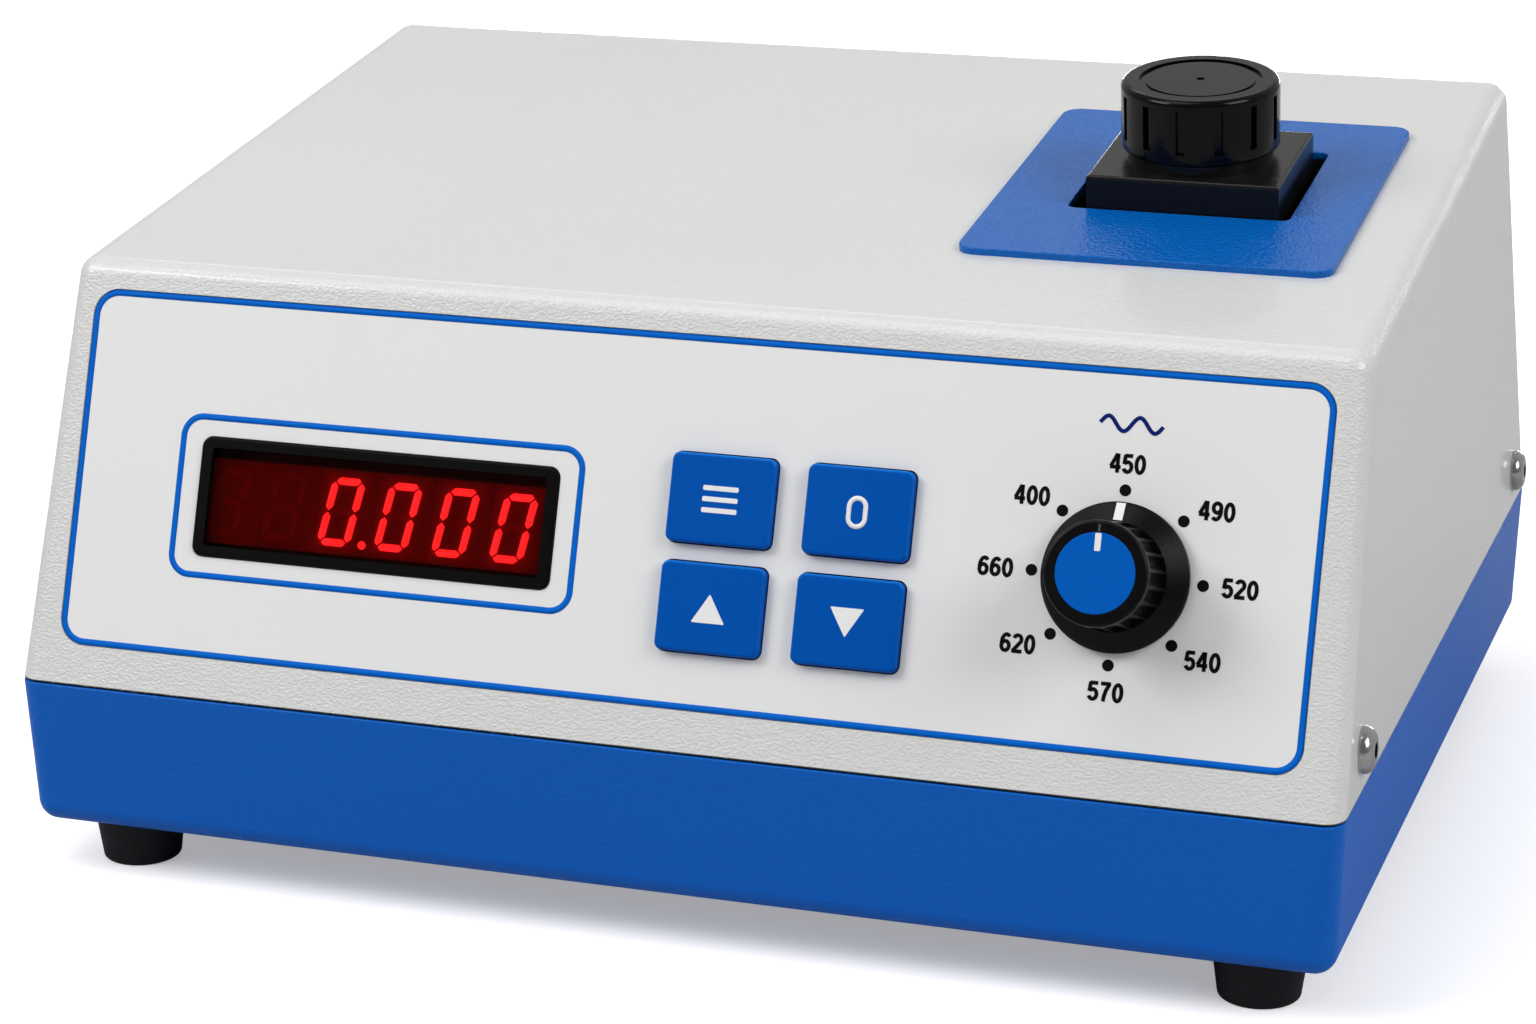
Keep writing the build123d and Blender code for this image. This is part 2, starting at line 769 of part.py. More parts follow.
# Printed overlay in the panel's shallow recess
with BuildPart() as front_overlay:
    with BuildSketch(panel.offset(-overlay_recess)):
        with Locations((0, overlay_v)):
            RectangleRounded(overlay_width, overlay_height, overlay_corner)
        with Locations((display_u, display_v)):
            RectangleRounded(
                display_width + 2 * slip, display_height + 2 * slip, display_corner + slip, mode=Mode.SUBTRACT
            )
        with Locations(*key_places):
            RectangleRounded(
                key_width + 2 * key_clearance,
                key_height + 2 * key_clearance,
                key_corner + key_clearance,
                mode=Mode.SUBTRACT,
            )
        with Locations((knob_u, knob_v)):
            Circle(bushing_radius + slip, mode=Mode.SUBTRACT)
    extrude(amount=overlay_thickness)
front_overlay.part.label = "front_overlay"
export_step(front_overlay.part, "parts/front_overlay.step")

# Display: bezel, red window behind its lip, digit blocks and their segments
with BuildPart() as display_bezel:
    with BuildSketch(display.offset(bezel_front)):
        RectangleRounded(display_width, display_height, display_corner)
    extrude(amount=board_face - bezel_front)
    fillet(crest(display_bezel.part, display), bezel_break)
    with BuildSketch(display.offset(-wall)):
        RectangleRounded(
            display_width + 2 * bezel_flange, display_height + 2 * bezel_flange, display_corner + bezel_flange
        )
    extrude(amount=-bezel_flange_thickness)
    with BuildSketch(display.offset(board_face)):
        Rectangle(display_width - 2 * bezel_skin, display_height - 2 * bezel_skin)
    extrude(amount=window_front - board_face, mode=Mode.SUBTRACT)
    with BuildSketch(display.offset(window_front)):
        RectangleRounded(window_width, window_height, window_corner)
    extrude(amount=bezel_lip, mode=Mode.SUBTRACT)
display_bezel.part.label = "display_bezel"
export_step(display_bezel.part, "parts/display_bezel.step")

window_inset = bezel_skin + fit_clearance
with BuildPart() as display_window:
    with BuildSketch(display.offset(window_front)):
        Rectangle(display_width - 2 * window_inset, display_height - 2 * window_inset)
    extrude(amount=-window_thickness)
display_window.part.label = "display_window"
export_step(display_window.part, "parts/display_window.step")

digits = at(display, -digit_offset, digit_v)
with BuildPart() as led_digits:
    with BuildSketch(digits.offset(board_face)):
        with GridLocations(digit_pitch, 1, digit_count, 1):
            Rectangle(digit_pitch - digit_gap, digit_body_height)
    extrude(amount=digit_body_depth)
led_digits.part.label = "led_digits"
export_step(led_digits.part, "parts/led_digits.step")


def segment(index, name):
    # Pointed bar of one digit, leant over by the slant. Segments run a to g as on any such digit.
    half_w = (digit_width - segment_width) / 2
    half_h = (digit_height - segment_width) / 2
    ends = {
        "a": ((-half_w, half_h), (half_w, half_h)),
        "b": ((half_w, half_h), (half_w, 0)),
        "c": ((half_w, 0), (half_w, -half_h)),
        "d": ((-half_w, -half_h), (half_w, -half_h)),
        "e": ((-half_w, 0), (-half_w, -half_h)),
        "f": ((-half_w, half_h), (-half_w, 0)),
        "g": ((-half_w, 0), (half_w, 0)),
    }
    start, finish = Vector(*ends[name][0]), Vector(*ends[name][1])
    along = (finish - start).normalized()
    across = Vector(-along.Y, along.X) * segment_width / 2
    tip = along * segment_width / 2
    start += along * segment_space
    finish -= along * segment_space
    outline = [start, start + tip + across, finish - tip + across]
    outline += [finish, finish - tip - across, start + tip - across]
    centre = (index - (digit_count - 1) / 2) * digit_pitch
    return [(centre + point.X + point.Y * tan(radians(digit_slant)), point.Y) for point in outline]


first_lit = digit_count - lit_digits
decimal_u = (first_lit + 1 - digit_count / 2) * digit_pitch - decimal_radius - segment_space
segments = at(display, -digit_offset - segment_shift, digit_v)
lit_bars = [(index, name) for index in range(first_lit, digit_count) for name in "abcdef"]
unlit_bars = [(index, name) for index in range(first_lit) for name in "abcdefg"]
unlit_bars += [(index, "g") for index in range(first_lit, digit_count)]
with BuildPart() as lit_segments:
    with BuildSketch(segments.offset(digit_face)):
        for index, name in lit_bars:
            Polygon(*segment(index, name), align=None)
        with Locations((decimal_u, decimal_v)):
            Circle(decimal_radius)
    extrude(amount=segment_rise)
lit_segments.part.label = "lit_segments"
export_step(lit_segments.part, "parts/lit_segments.step")

with BuildPart() as unlit_segments:
    with BuildSketch(segments.offset(digit_face)):
        for index, name in unlit_bars:
            Polygon(*segment(index, name), align=None)
    extrude(amount=segment_rise)
unlit_segments.part.label = "unlit_segments"
export_step(unlit_segments.part, "parts/unlit_segments.step")

# Board behind the panel, with the key switches on it
with BuildPart() as front_circuit_board:
    with BuildSketch(front_board.offset(board_back)):
        Rectangle(board_span, board_rise)
        with Locations(*front_posts):
            Circle(screw_radius + screw_clearance, mode=Mode.SUBTRACT)
    extrude(amount=board_thickness)
front_circuit_board.part.label = "front_circuit_board"
export_step(front_circuit_board.part, "parts/front_circuit_board.step")

with BuildPart() as key_switches:
    with BuildSketch(panel.offset(board_face)):
        with Locations(*key_places):
            Rectangle(switch_width, switch_width)
    extrude(amount=switch_front - board_face)
    with BuildSketch(panel.offset(switch_front)):
        with Locations(*key_places):
            Circle(key_stem_radius + switch_bore_clearance)
    extrude(amount=-switch_bore_depth, mode=Mode.SUBTRACT)
key_switches.part.label = "key_switches"
export_step(key_switches.part, "parts/key_switches.step")

# Keys: a cap through the panel, a lip behind it and a stem into the switch
for name, place in zip(key_names, key_places):
    seat = at(panel, *place)
    with BuildPart() as key:
        with BuildSketch(seat.offset(-wall)):
            RectangleRounded(key_width, key_height, key_corner)
        extrude(amount=wall + overlay_front + key_proud)
        fillet(crest(key.part, seat), key_bevel)
        with BuildSketch(seat.offset(-wall)):
            RectangleRounded(key_width + 2 * key_lip, key_height + 2 * key_lip, key_corner + key_lip)
        extrude(amount=-key_lip_thickness)
        with BuildSketch(seat.offset(key_back)):
            Circle(key_stem_radius)
        extrude(amount=-stem_length)
    key.part.label = name
    export_step(key.part, f"parts/{name}.step")

# Knob with its coloured insert
grip_base = knob_base + skirt_height
rim_circle = grip_top_radius + flute_radius - flute_depth
with BuildPart() as knob:
    with BuildSketch(section(knob_axis)):
        Polygon(
            (0, knob_base),
            (skirt_radius, knob_base),
            (skirt_radius, knob_base + skirt_rim),
            (skirt_radius - skirt_break, knob_base + skirt_rim + skirt_break),
            (grip_root_radius, grip_base),
            (grip_top_radius, knob_top),
            (0, knob_top),
            align=None,
        )
    revolve(axis=Axis(knob_axis.origin, knob_axis.z_dir))
    fillet(crest(knob.part, knob_axis), knob_edge)
    with BuildSketch(knob_axis.offset(grip_base)):
        with PolarLocations(rim_circle, flute_count):
            Circle(flute_radius)
    extrude(amount=knob_top - flute_rim - grip_base, mode=Mode.SUBTRACT)
    with BuildSketch(knob_axis.offset(knob_base)):
        Circle(knob_cavity_radius)
    extrude(amount=knob_cavity_depth, mode=Mode.SUBTRACT)
    with BuildSketch(knob_axis.offset(knob_base)):
        Circle(shaft_radius + fit_clearance)
    extrude(amount=knob_bore_depth, mode=Mode.SUBTRACT)
    with BuildSketch(knob_axis.offset(knob_top)):
        Circle(insert_radius + fit_clearance)
    extrude(amount=insert_proud - insert_thickness, mode=Mode.SUBTRACT)
    with BuildSketch(knob_grub):
        Circle(grub_radius + fit_clearance)
    extrude(amount=skirt_radius, mode=Mode.SUBTRACT)
knob.part.label = "knob"
export_step(knob.part, "parts/knob.step")

with BuildPart() as knob_insert:
    with BuildSketch(knob_axis.offset(knob_top + insert_proud)):
        Circle(insert_radius)
    extrude(amount=-insert_thickness)
    fillet(crest(knob_insert.part, knob_axis), insert_break)
knob_insert.part.label = "knob_insert"
export_step(knob_insert.part, "parts/knob_insert.step")

# Shaft from the knob through the panel and the bracket to the wheel
shaft_tip = knob_base + knob_bore_depth - shaft_end_gap
shaft_end = -(wheel_depth + wheel_thickness / 2 + shaft_tail)
with BuildPart() as filter_shaft:
    with BuildSketch(knob_axis.offset(shaft_tip)):
        Circle(shaft_radius)
    extrude(amount=shaft_end - shaft_tip)
filter_shaft.part.label = "filter_shaft"
export_step(filter_shaft.part, "parts/filter_shaft.step")

with BuildPart() as grub_screws:
    for seat in (knob_grub, wheel_grub):
        with BuildSketch(seat.offset(shaft_radius)):
            Circle(grub_radius)
        extrude(amount=grub_length)
grub_screws.part.label = "grub_screws"
export_step(grub_screws.part, "parts/grub_screws.step")

with BuildPart() as panel_bushing:
    with BuildSketch(knob_axis.offset(bushing_front)):
        Circle(bushing_radius)
    extrude(amount=-wall - bushing_front)
    with BuildSketch(knob_axis.offset(-wall)):
        Circle(bushing_flange_radius)
    extrude(amount=-bushing_flange_thickness)
    with BuildSketch(knob_axis.offset(-wall - bushing_flange_thickness)):
        Circle(bushing_tail_radius)
    extrude(amount=-bushing_tail)
    with BuildSketch(knob_axis.offset(bushing_front)):
        Circle(shaft_radius + fit_clearance)
    extrude(amount=-bushing_front - wall - bushing_flange_thickness - bushing_tail, mode=Mode.SUBTRACT)
panel_bushing.part.label = "panel_bushing"
export_step(panel_bushing.part, "parts/panel_bushing.step")

with BuildPart() as bushing_nut:
    with BuildSketch(knob_axis.offset(overlay_front)):
        RegularPolygon(nut_width / 2, 6, major_radius=False)
        Circle(bushing_radius + fit_clearance, mode=Mode.SUBTRACT)
    extrude(amount=nut_thickness)
bushing_nut.part.label = "bushing_nut"
export_step(bushing_nut.part, "parts/bushing_nut.step")

# Filter wheel. A filter sits in each pocket, and the rim has a notch for each position.
filter_turns = [beam_turn - radians(index * 360 / filter_count) for index in range(filter_count)]
filter_places = [(filter_pitch_radius * sin(turn), filter_pitch_radius * cos(turn)) for turn in filter_turns]
with BuildPart() as filter_wheel:
    with BuildSketch(knob_axis.offset(wheel_back)):
        Circle(wheel_radius)
    extrude(amount=wheel_thickness)
    with BuildSketch(knob_axis.offset(wheel_front)):
        Circle(wheel_hub_radius)
    extrude(amount=wheel_hub_length)
    with BuildSketch(knob_axis.offset(wheel_back)):
        Circle(shaft_radius + fit_clearance)
    extrude(amount=wheel_thickness + wheel_hub_length, mode=Mode.SUBTRACT)
    with BuildSketch(knob_axis.offset(wheel_back)):
        with Locations(*filter_places):
            Circle(wheel_hole_radius)
    extrude(amount=wheel_thickness, mode=Mode.SUBTRACT)
    with BuildSketch(knob_axis.offset(wheel_back)):
        with Locations(*filter_places):
            Circle(filter_radius + fit_clearance)
    extrude(amount=filter_thickness, mode=Mode.SUBTRACT)
    with BuildSketch(knob_axis.offset(wheel_back)):
        with PolarLocations(wheel_radius + notch_radius - notch_depth, filter_count, start_angle=-90):
            Circle(notch_radius)
    extrude(amount=wheel_thickness, mode=Mode.SUBTRACT)
    with BuildSketch(wheel_grub):
        Circle(grub_radius + fit_clearance)
    extrude(amount=wheel_hub_radius, mode=Mode.SUBTRACT)
filter_wheel.part.label = "filter_wheel"
export_step(filter_wheel.part, "parts/filter_wheel.step")

filter_names = [450, 490, 520, 540, 570, 620, 660, 400]
for name, place in zip(filter_names, filter_places):
    with BuildPart() as colour_filter:
        with BuildSketch(knob_axis.offset(wheel_back)):
            with Locations(place):
                Circle(filter_radius)
        extrude(amount=filter_thickness)
    colour_filter.part.label = f"filter_{name}"
    export_step(colour_filter.part, f"parts/filter_{name}.step")


def bracket_tip(depth):
    # Top end of the bracket's sheet, at that depth behind the knob
    tip = knob_axis.from_local_coords((0, bracket_top, -depth))
    return (tip.Y, tip.Z)


# Bracket that carries the shaft's far bearing, the detent and the detector
with BuildPart() as wheel_bracket:
    with BuildSketch(Plane.YZ.offset(knob_u - bracket_width / 2)):
        Polygon(
            bracket_point(bracket_depth + bracket_thickness, plate_top),
            bracket_tip(bracket_depth + bracket_thickness),
            bracket_tip(bracket_depth),
            bracket_heel,
            (bracket_heel[0] - bracket_foot, plate_top + bracket_thickness),
            (bracket_heel[0] - bracket_foot, plate_top),
            align=None,
        )
    extrude(amount=bracket_width)
    with BuildSketch(knob_axis.offset(-bracket_depth)):
        Circle(bearing_radius + fit_clearance)
    extrude(amount=-bracket_thickness, mode=Mode.SUBTRACT)
    with BuildSketch(detector):
        Circle(detector_brim_radius + slip)
        with Locations(*detector_screws):
            Circle(screw_radius + fit_clearance)
    extrude(amount=-bracket_thickness, mode=Mode.SUBTRACT)
    with BuildSketch(detent_seat):
        Circle(screw_radius + fit_clearance)
    extrude(amount=-bracket_thickness, mode=Mode.SUBTRACT)
    with BuildSketch(Plane.XY.offset(plate_top)):
        with Locations(*bracket_screws):
            Circle(screw_radius + screw_clearance)
    extrude(amount=bracket_thickness, mode=Mode.SUBTRACT)
wheel_bracket.part.label = "wheel_bracket"
export_step(wheel_bracket.part, "parts/wheel_bracket.step")

with BuildPart() as shaft_bearing:
    with BuildSketch(knob_axis.offset(bracket_front)):
        Circle(bearing_flange_radius)
    extrude(amount=bearing_flange_thickness)
    with BuildSketch(knob_axis.offset(bracket_front)):
        Circle(bearing_radius)
    extrude(amount=-bracket_thickness - bearing_tail)
    with BuildSketch(knob_axis.offset(bracket_front + bearing_flange_thickness)):
        Circle(shaft_radius + fit_clearance)
    extrude(amount=-bearing_flange_thickness - bracket_thickness - bearing_tail, mode=Mode.SUBTRACT)
shaft_bearing.part.label = "shaft_bearing"
export_step(shaft_bearing.part, "parts/shaft_bearing.step")

# Leaf spring under the wheel. Its bump stands just off the rim, below the notch.
knob_side = Plane(origin=knob_axis.origin, x_dir=knob_axis.y_dir, z_dir=knob_axis.x_dir)
with BuildPart() as detent_spring:
    with BuildSketch(knob_side.offset(-detent_width / 2)):
        Polygon(
            (detent_rise - detent_thickness, bracket_back),
            (detent_rise - detent_thickness, wheel_back - detent_overhang),
            (detent_rise, wheel_back - detent_overhang),
            (detent_rise, bracket_back - detent_thickness),
            (detent_rise + detent_foot, bracket_back - detent_thickness),
            (detent_rise + detent_foot, bracket_back),
            align=None,
        )
    extrude(amount=detent_width)
    with BuildSketch(knob_axis.offset(wheel_back)):
        with Locations((0, detent_rise)):
            Circle(detent_bump_radius)
            Rectangle(
                2 * detent_bump_radius,
                detent_bump_radius,
                align=(Align.CENTER, Align.MAX),
                mode=Mode.SUBTRACT,
            )
    extrude(amount=wheel_thickness)
    with BuildSketch(detent_seat):
        Circle(screw_radius + screw_clearance)
    extrude(amount=detent_thickness, mode=Mode.SUBTRACT)
detent_spring.part.label = "detent_spring"
export_step(detent_spring.part, "parts/detent_spring.step")

# Detector: a small board on the bracket's front, its can reaching through towards the wheel
with BuildPart() as detector_board:
    with BuildSketch(detector):
        Rectangle(detector_board_size, detector_board_size)
        with Locations(*detector_screws):
            Circle(screw_radius + screw_clearance, mode=Mode.SUBTRACT)
    extrude(amount=board_thickness)
detector_board.part.label = "detector_board"
export_step(detector_board.part, "parts/detector_board.step")

with BuildPart() as photodiode:
    with BuildSketch(detector):
        Circle(detector_brim_radius)
    extrude(amount=-detector_brim_length)
    with BuildSketch(detector):
        Circle(detector_can_radius)
    extrude(amount=-detector_can_length)
photodiode.part.label = "photodiode"
export_step(photodiode.part, "parts/photodiode.step")

# Sample block: head and collar above the top, pedestal below, bored for the tube and the beam
sample_axis = Plane(origin=(well_x, pedestal_rear, beam_z), x_dir=(1, 0, 0), z_dir=(0, -1, 0))
with BuildPart() as sample_block:
    with BuildSketch(well.offset(-head_root)):
        Rectangle(head_width, head_depth)
    extrude(amount=head_root + head_height)
    fillet(crest(sample_block.part, well), head_edge)
    with BuildSketch(well.offset(head_height)):
        Circle(collar_flange_radius)
    extrude(amount=collar_flange_height)
    with BuildSketch(well.offset(cap_base)):
        Circle(collar_radius)
    extrude(amount=collar_height)
    with BuildSketch(Plane.XY.offset(plate_top)):
        with Locations((well_x, pedestal_y)):
            Rectangle(pedestal_width, pedestal_rear - pedestal_front)
    extrude(amount=well.from_local_coords((0, 0, -pedestal_top)).Z - plate_top)
    with BuildSketch(well.offset(collar_top)):
        Circle(well_radius)
    extrude(amount=-well_length, mode=Mode.SUBTRACT)
    with BuildSketch(sample_axis):
        Circle(beam_radius)
    extrude(amount=pedestal_rear - pedestal_front, mode=Mode.SUBTRACT)
    with BuildSketch(sample_axis):
        Circle(lens_radius + fit_clearance)
    extrude(amount=lens_seat_depth, mode=Mode.SUBTRACT)
    with BuildSketch(Plane.XY.offset(plate_top)):
        with Locations(*block_screws):
            Circle(screw_radius + fit_clearance)
    extrude(amount=plate_hole_depth, mode=Mode.SUBTRACT)
sample_block.part.label = "sample_block"
export_step(sample_block.part, "parts/sample_block.step")

# Condenser lens: its flat side on the floor of the pocket, its curved side towards the lamp
lens_axis = Plane(origin=(well_x, pedestal_rear - lens_seat_depth, beam_z), x_dir=(1, 0, 0), z_dir=(0, 1, 0))
lens_curve = (lens_radius**2 + lens_bulge**2) / (2 * lens_bulge)
lens_top = lens_edge + lens_bulge
lens_middle = lens_top - lens_curve + sqrt(lens_curve**2 - (lens_radius / 2) ** 2)
with BuildPart() as condenser_lens:
    with BuildSketch(section(lens_axis)):
        with BuildLine():
            Polyline((0, lens_top), (0, 0), (lens_radius, 0), (lens_radius, lens_edge))
            ThreePointArc((lens_radius, lens_edge), (lens_radius / 2, lens_middle), (0, lens_top))
        make_face()
    revolve(axis=Axis(lens_axis.origin, lens_axis.z_dir))
condenser_lens.part.label = "condenser_lens"
export_step(condenser_lens.part, "parts/condenser_lens.step")

# Plate around the sample block, on the sloping top
with BuildPart() as top_plate:
    with BuildSketch(top):
        with Locations((plate_x, plate_s)):
            RectangleRounded(plate_width, plate_depth, plate_corner)
        with Locations((hole_x, hole_s)):
            RectangleRounded(hole_width, hole_depth, hole_corner, mode=Mode.SUBTRACT)
    extrude(amount=plate_thickness)
    fillet(crest(top_plate.part, top), plate_edge)
top_plate.part.label = "top_plate"
export_step(top_plate.part, "parts/top_plate.step")

# Light-tight cap over the collar, with grip grooves and a shallow dish in its top
cap_top = cap_base + cap_height
with BuildPart() as sample_cap:
    with BuildSketch(well.offset(cap_base)):
        Circle(cap_radius)
    extrude(amount=cap_height)
    fillet(crest(sample_cap.part, well), cap_edge)
    fillet(sample_cap.edges().group_by(Axis(well.origin, well.z_dir), tol_digits=3)[0], cap_base_edge)
    with BuildSketch(well.offset(cap_base + cap_groove_base)):
        with PolarLocations(cap_radius, cap_groove_count, start_angle=cap_turn):
            Rectangle(2 * cap_groove_depth, cap_groove_width)
    extrude(amount=cap_height - cap_groove_base - cap_groove_top, mode=Mode.SUBTRACT)
    with BuildSketch(well.offset(cap_base)):
        Circle(cap_inner_radius)
    extrude(amount=cap_height - cap_roof, mode=Mode.SUBTRACT)
    with BuildSketch(well.offset(cap_top)):
        Circle(cap_recess_radius)
    extrude(amount=-cap_recess_depth, mode=Mode.SUBTRACT)
    with BuildSketch(well.offset(cap_top - cap_recess_depth)):
        Circle(cap_disc_radius)
        Circle(gate_radius, mode=Mode.SUBTRACT)
    extrude(amount=cap_disc_rise)
sample_cap.part.label = "sample_cap"
export_step(sample_cap.part, "parts/sample_cap.step")

with BuildPart() as cap_seal:
    with BuildSketch(well.offset(cap_ceiling)):
        Circle(cap_inner_radius - seal_clearance)
    extrude(amount=-seal_thickness)
cap_seal.part.label = "cap_seal"
export_step(cap_seal.part, "parts/cap_seal.step")

# Plate on the floor that carries the optics
with BuildPart() as optics_plate:
    with BuildSketch(Plane.XY.offset(plate_z)):
        with Locations((optics_plate_x, plate_y)):
            Rectangle(optics_plate_width, plate_length)
        with Locations(*plate_posts, *block_screws):
            Circle(screw_radius + screw_clearance, mode=Mode.SUBTRACT)
        with Locations(*bracket_screws, *lamp_screws):
            Circle(screw_radius + fit_clearance, mode=Mode.SUBTRACT)
    extrude(amount=optics_plate_thickness)
optics_plate.part.label = "optics_plate"
export_step(optics_plate.part, "parts/optics_plate.step")

# Lamp behind the sample block, at the height of the beam
lamp_axis = Plane(origin=(well_x, lamp_y, beam_z), x_dir=(1, 0, 0), z_dir=(0, -1, 0))
with BuildPart() as lamp_bracket:
    with BuildSketch(Plane.YZ.offset(well_x - lamp_bracket_width / 2)):
        Polygon(
            (lamp_y, plate_top),
            (lamp_y + lamp_foot, plate_top),
            (lamp_y + lamp_foot, plate_top + bracket_thickness),
            (lamp_y + bracket_thickness, plate_top + bracket_thickness),
            (lamp_y + bracket_thickness, beam_z + lamp_bracket_rise),
            (lamp_y, beam_z + lamp_bracket_rise),
            align=None,
        )
    extrude(amount=lamp_bracket_width)
    with BuildSketch(lamp_axis):
        Circle(holder_radius + fit_clearance)
    extrude(amount=-bracket_thickness, mode=Mode.SUBTRACT)
    with BuildSketch(Plane.XY.offset(plate_top)):
        with Locations(*lamp_screws):
            Circle(screw_radius + screw_clearance)
    extrude(amount=bracket_thickness, mode=Mode.SUBTRACT)
lamp_bracket.part.label = "lamp_bracket"
export_step(lamp_bracket.part, "parts/lamp_bracket.step")

with BuildPart() as lamp_holder:
    with BuildSketch(lamp_axis):
        Circle(holder_flange_radius)
    extrude(amount=holder_flange_thickness)
    with BuildSketch(lamp_axis):
        Circle(holder_radius)
    extrude(amount=holder_flange_thickness - holder_length)
    with BuildSketch(lamp_axis.offset(holder_flange_thickness)):
        Circle(holder_bore_radius)
    extrude(amount=-holder_length, mode=Mode.SUBTRACT)
lamp_holder.part.label = "lamp_holder"
export_step(lamp_holder.part, "parts/lamp_holder.step")

with BuildPart() as lamp_bulb:
    with BuildSketch(lamp_axis.offset(holder_flange_thickness)):
        Circle(lamp_base_radius)
    extrude(amount=-lamp_base_length)
    with BuildSketch(lamp_axis.offset(holder_flange_thickness)):
        Circle(lamp_neck_radius)
    extrude(amount=lamp_neck)
    with BuildSketch(section(lamp_axis)):
        with Locations((0, holder_flange_thickness + lamp_neck)):
            Circle(lamp_glass_radius)
            Rectangle(
                lamp_glass_radius, 2 * lamp_glass_radius, align=(Align.MAX, Align.CENTER), mode=Mode.SUBTRACT
            )
    revolve(axis=Axis(lamp_axis.origin, lamp_axis.z_dir))
lamp_bulb.part.label = "lamp_bulb"
export_step(lamp_bulb.part, "parts/lamp_bulb.step")

# Main board on its four posts, and the parts soldered to it
with BuildPart() as main_board:
    with BuildSketch(Plane.XY.offset(main_z)):
        with Locations((board_x, main_y)):
            Rectangle(board_width, board_depth)
        with Locations(*main_posts):
            Circle(screw_radius + screw_clearance, mode=Mode.SUBTRACT)
    extrude(amount=board_thickness)
main_board.part.label = "main_board"
export_step(main_board.part, "parts/main_board.step")

ribbon_u = board_x + ribbon_shift
header_y = board_edge + ribbon_setin
chip_pitch = board_width / (chip_count + 1)
board_end = board_edge + board_depth
with BuildPart() as main_board_parts:
    with BuildSketch(Plane.XY.offset(main_top)):
        with Locations((ribbon_u, header_y)):
            Rectangle(header_width, header_depth)
    extrude(amount=header_height)
    with BuildSketch(Plane.XY.offset(main_top)):
        with Locations((board_x, board_edge + chip_setin)):
            with GridLocations(chip_pitch, 1, chip_count, 1):
                Rectangle(chip_width, chip_length)
    extrude(amount=chip_height)
    with BuildSketch(Plane.XY.offset(main_top)):
        with Locations((board_x, board_end - capacitor_rear)):
            with GridLocations(capacitor_pitch, 1, capacitor_count, 1):
                Circle(capacitor_radius)
    extrude(amount=capacitor_height)
    with BuildSketch(Plane.XY.offset(main_top)):
        with Locations((board_x, board_end - sink_rear)):
            Rectangle(sink_width, sink_depth)
    extrude(amount=sink_height)
main_board_parts.part.label = "main_board_parts"
export_step(main_board_parts.part, "parts/main_board_parts.step")

# Ribbon cable from the front board down to its header
ribbon_start = panel.from_local_coords((ribbon_u, ribbon_v, board_back))
ribbon_turn = panel.from_local_coords((ribbon_u, ribbon_v, board_back - ribbon_reach))
header_top = main_top + header_height
with BuildPart() as ribbon_cable:
    with BuildSketch(Plane.YZ.offset(ribbon_u - ribbon_width / 2)):
        with BuildLine():
            FilletPolyline(
                (ribbon_start.Y, ribbon_start.Z),
                (ribbon_turn.Y, ribbon_turn.Z),
                (header_y, header_top + ribbon_drop),
                (header_y, header_top),
                radius=ribbon_bend,
            )
        trace(line_width=ribbon_thickness)
    extrude(amount=ribbon_width)
ribbon_cable.part.label = "ribbon_cable"
export_step(ribbon_cable.part, "parts/ribbon_cable.step")

# Mains transformer: laminated core with a foot at each side, and its winding on the middle leg
core_front = Plane(origin=(transformer_x, core_y - core_stack / 2, core_z), x_dir=(1, 0, 0), z_dir=(0, -1, 0))
core_window = (core_width - 4 * core_leg) / 2
with BuildPart() as transformer_core:
    with BuildSketch(core_front):
        with Locations((0, core_height / 2)):
            Rectangle(core_width, core_height)
            with GridLocations(2 * core_leg + core_window, 1, 2, 1):
                Rectangle(core_window, core_height - 2 * core_leg, mode=Mode.SUBTRACT)
    extrude(amount=-core_stack)
    with BuildSketch(Plane.XY.offset(core_z)):
        with Locations((transformer_x, core_y)):
            Rectangle(core_base_width, core_stack)
        with Locations(*core_screws):
            Circle(screw_radius + screw_clearance, mode=Mode.SUBTRACT)
    extrude(amount=-core_base_thickness)
transformer_core.part.label = "transformer_core"
export_step(transformer_core.part, "parts/transformer_core.step")

with BuildPart() as transformer_coil:
    with BuildSketch(Plane.XY.offset(core_z + core_leg)):
        with Locations((transformer_x, core_y)):
            Rectangle(2 * (core_leg + core_window - coil_clearance), coil_depth)
            Rectangle(2 * (core_leg + coil_clearance), core_stack + 2 * coil_clearance, mode=Mode.SUBTRACT)
    extrude(amount=core_height - 2 * core_leg - coil_clearance)
transformer_coil.part.label = "transformer_coil"
export_step(transformer_coil.part, "parts/transformer_coil.step")

# Mains inlet in the rear wall: a flanged socket with three blades
pin_places = [(-pin_pitch, -pin_rise), (0, pin_rise), (pin_pitch, -pin_rise)]
socket_floor = inlet_flange_thickness - inlet_socket_depth
with BuildPart() as power_inlet:
    with BuildSketch(inlet):
        RectangleRounded(inlet_flange_width, inlet_flange_height, inlet_corner)
    extrude(amount=inlet_flange_thickness)
    with BuildSketch(inlet):
        Rectangle(inlet_cut_width, inlet_cut_height)
    extrude(amount=-inlet_body_depth)
    with BuildSketch(inlet.offset(inlet_flange_thickness)) as socket:
        Rectangle(inlet_socket_width, inlet_socket_height)
        chamfer(socket.vertices().group_by(Axis.Y)[-1], inlet_chamfer)
    extrude(amount=-inlet_socket_depth, mode=Mode.SUBTRACT)
    with BuildSketch(inlet.offset(socket_floor)):
        with Locations(*pin_places):
            Rectangle(pin_width + 2 * fit_clearance, pin_height + 2 * fit_clearance)
    extrude(amount=-inlet_body_depth - socket_floor, mode=Mode.SUBTRACT)
power_inlet.part.label = "power_inlet"
export_step(power_inlet.part, "parts/power_inlet.step")

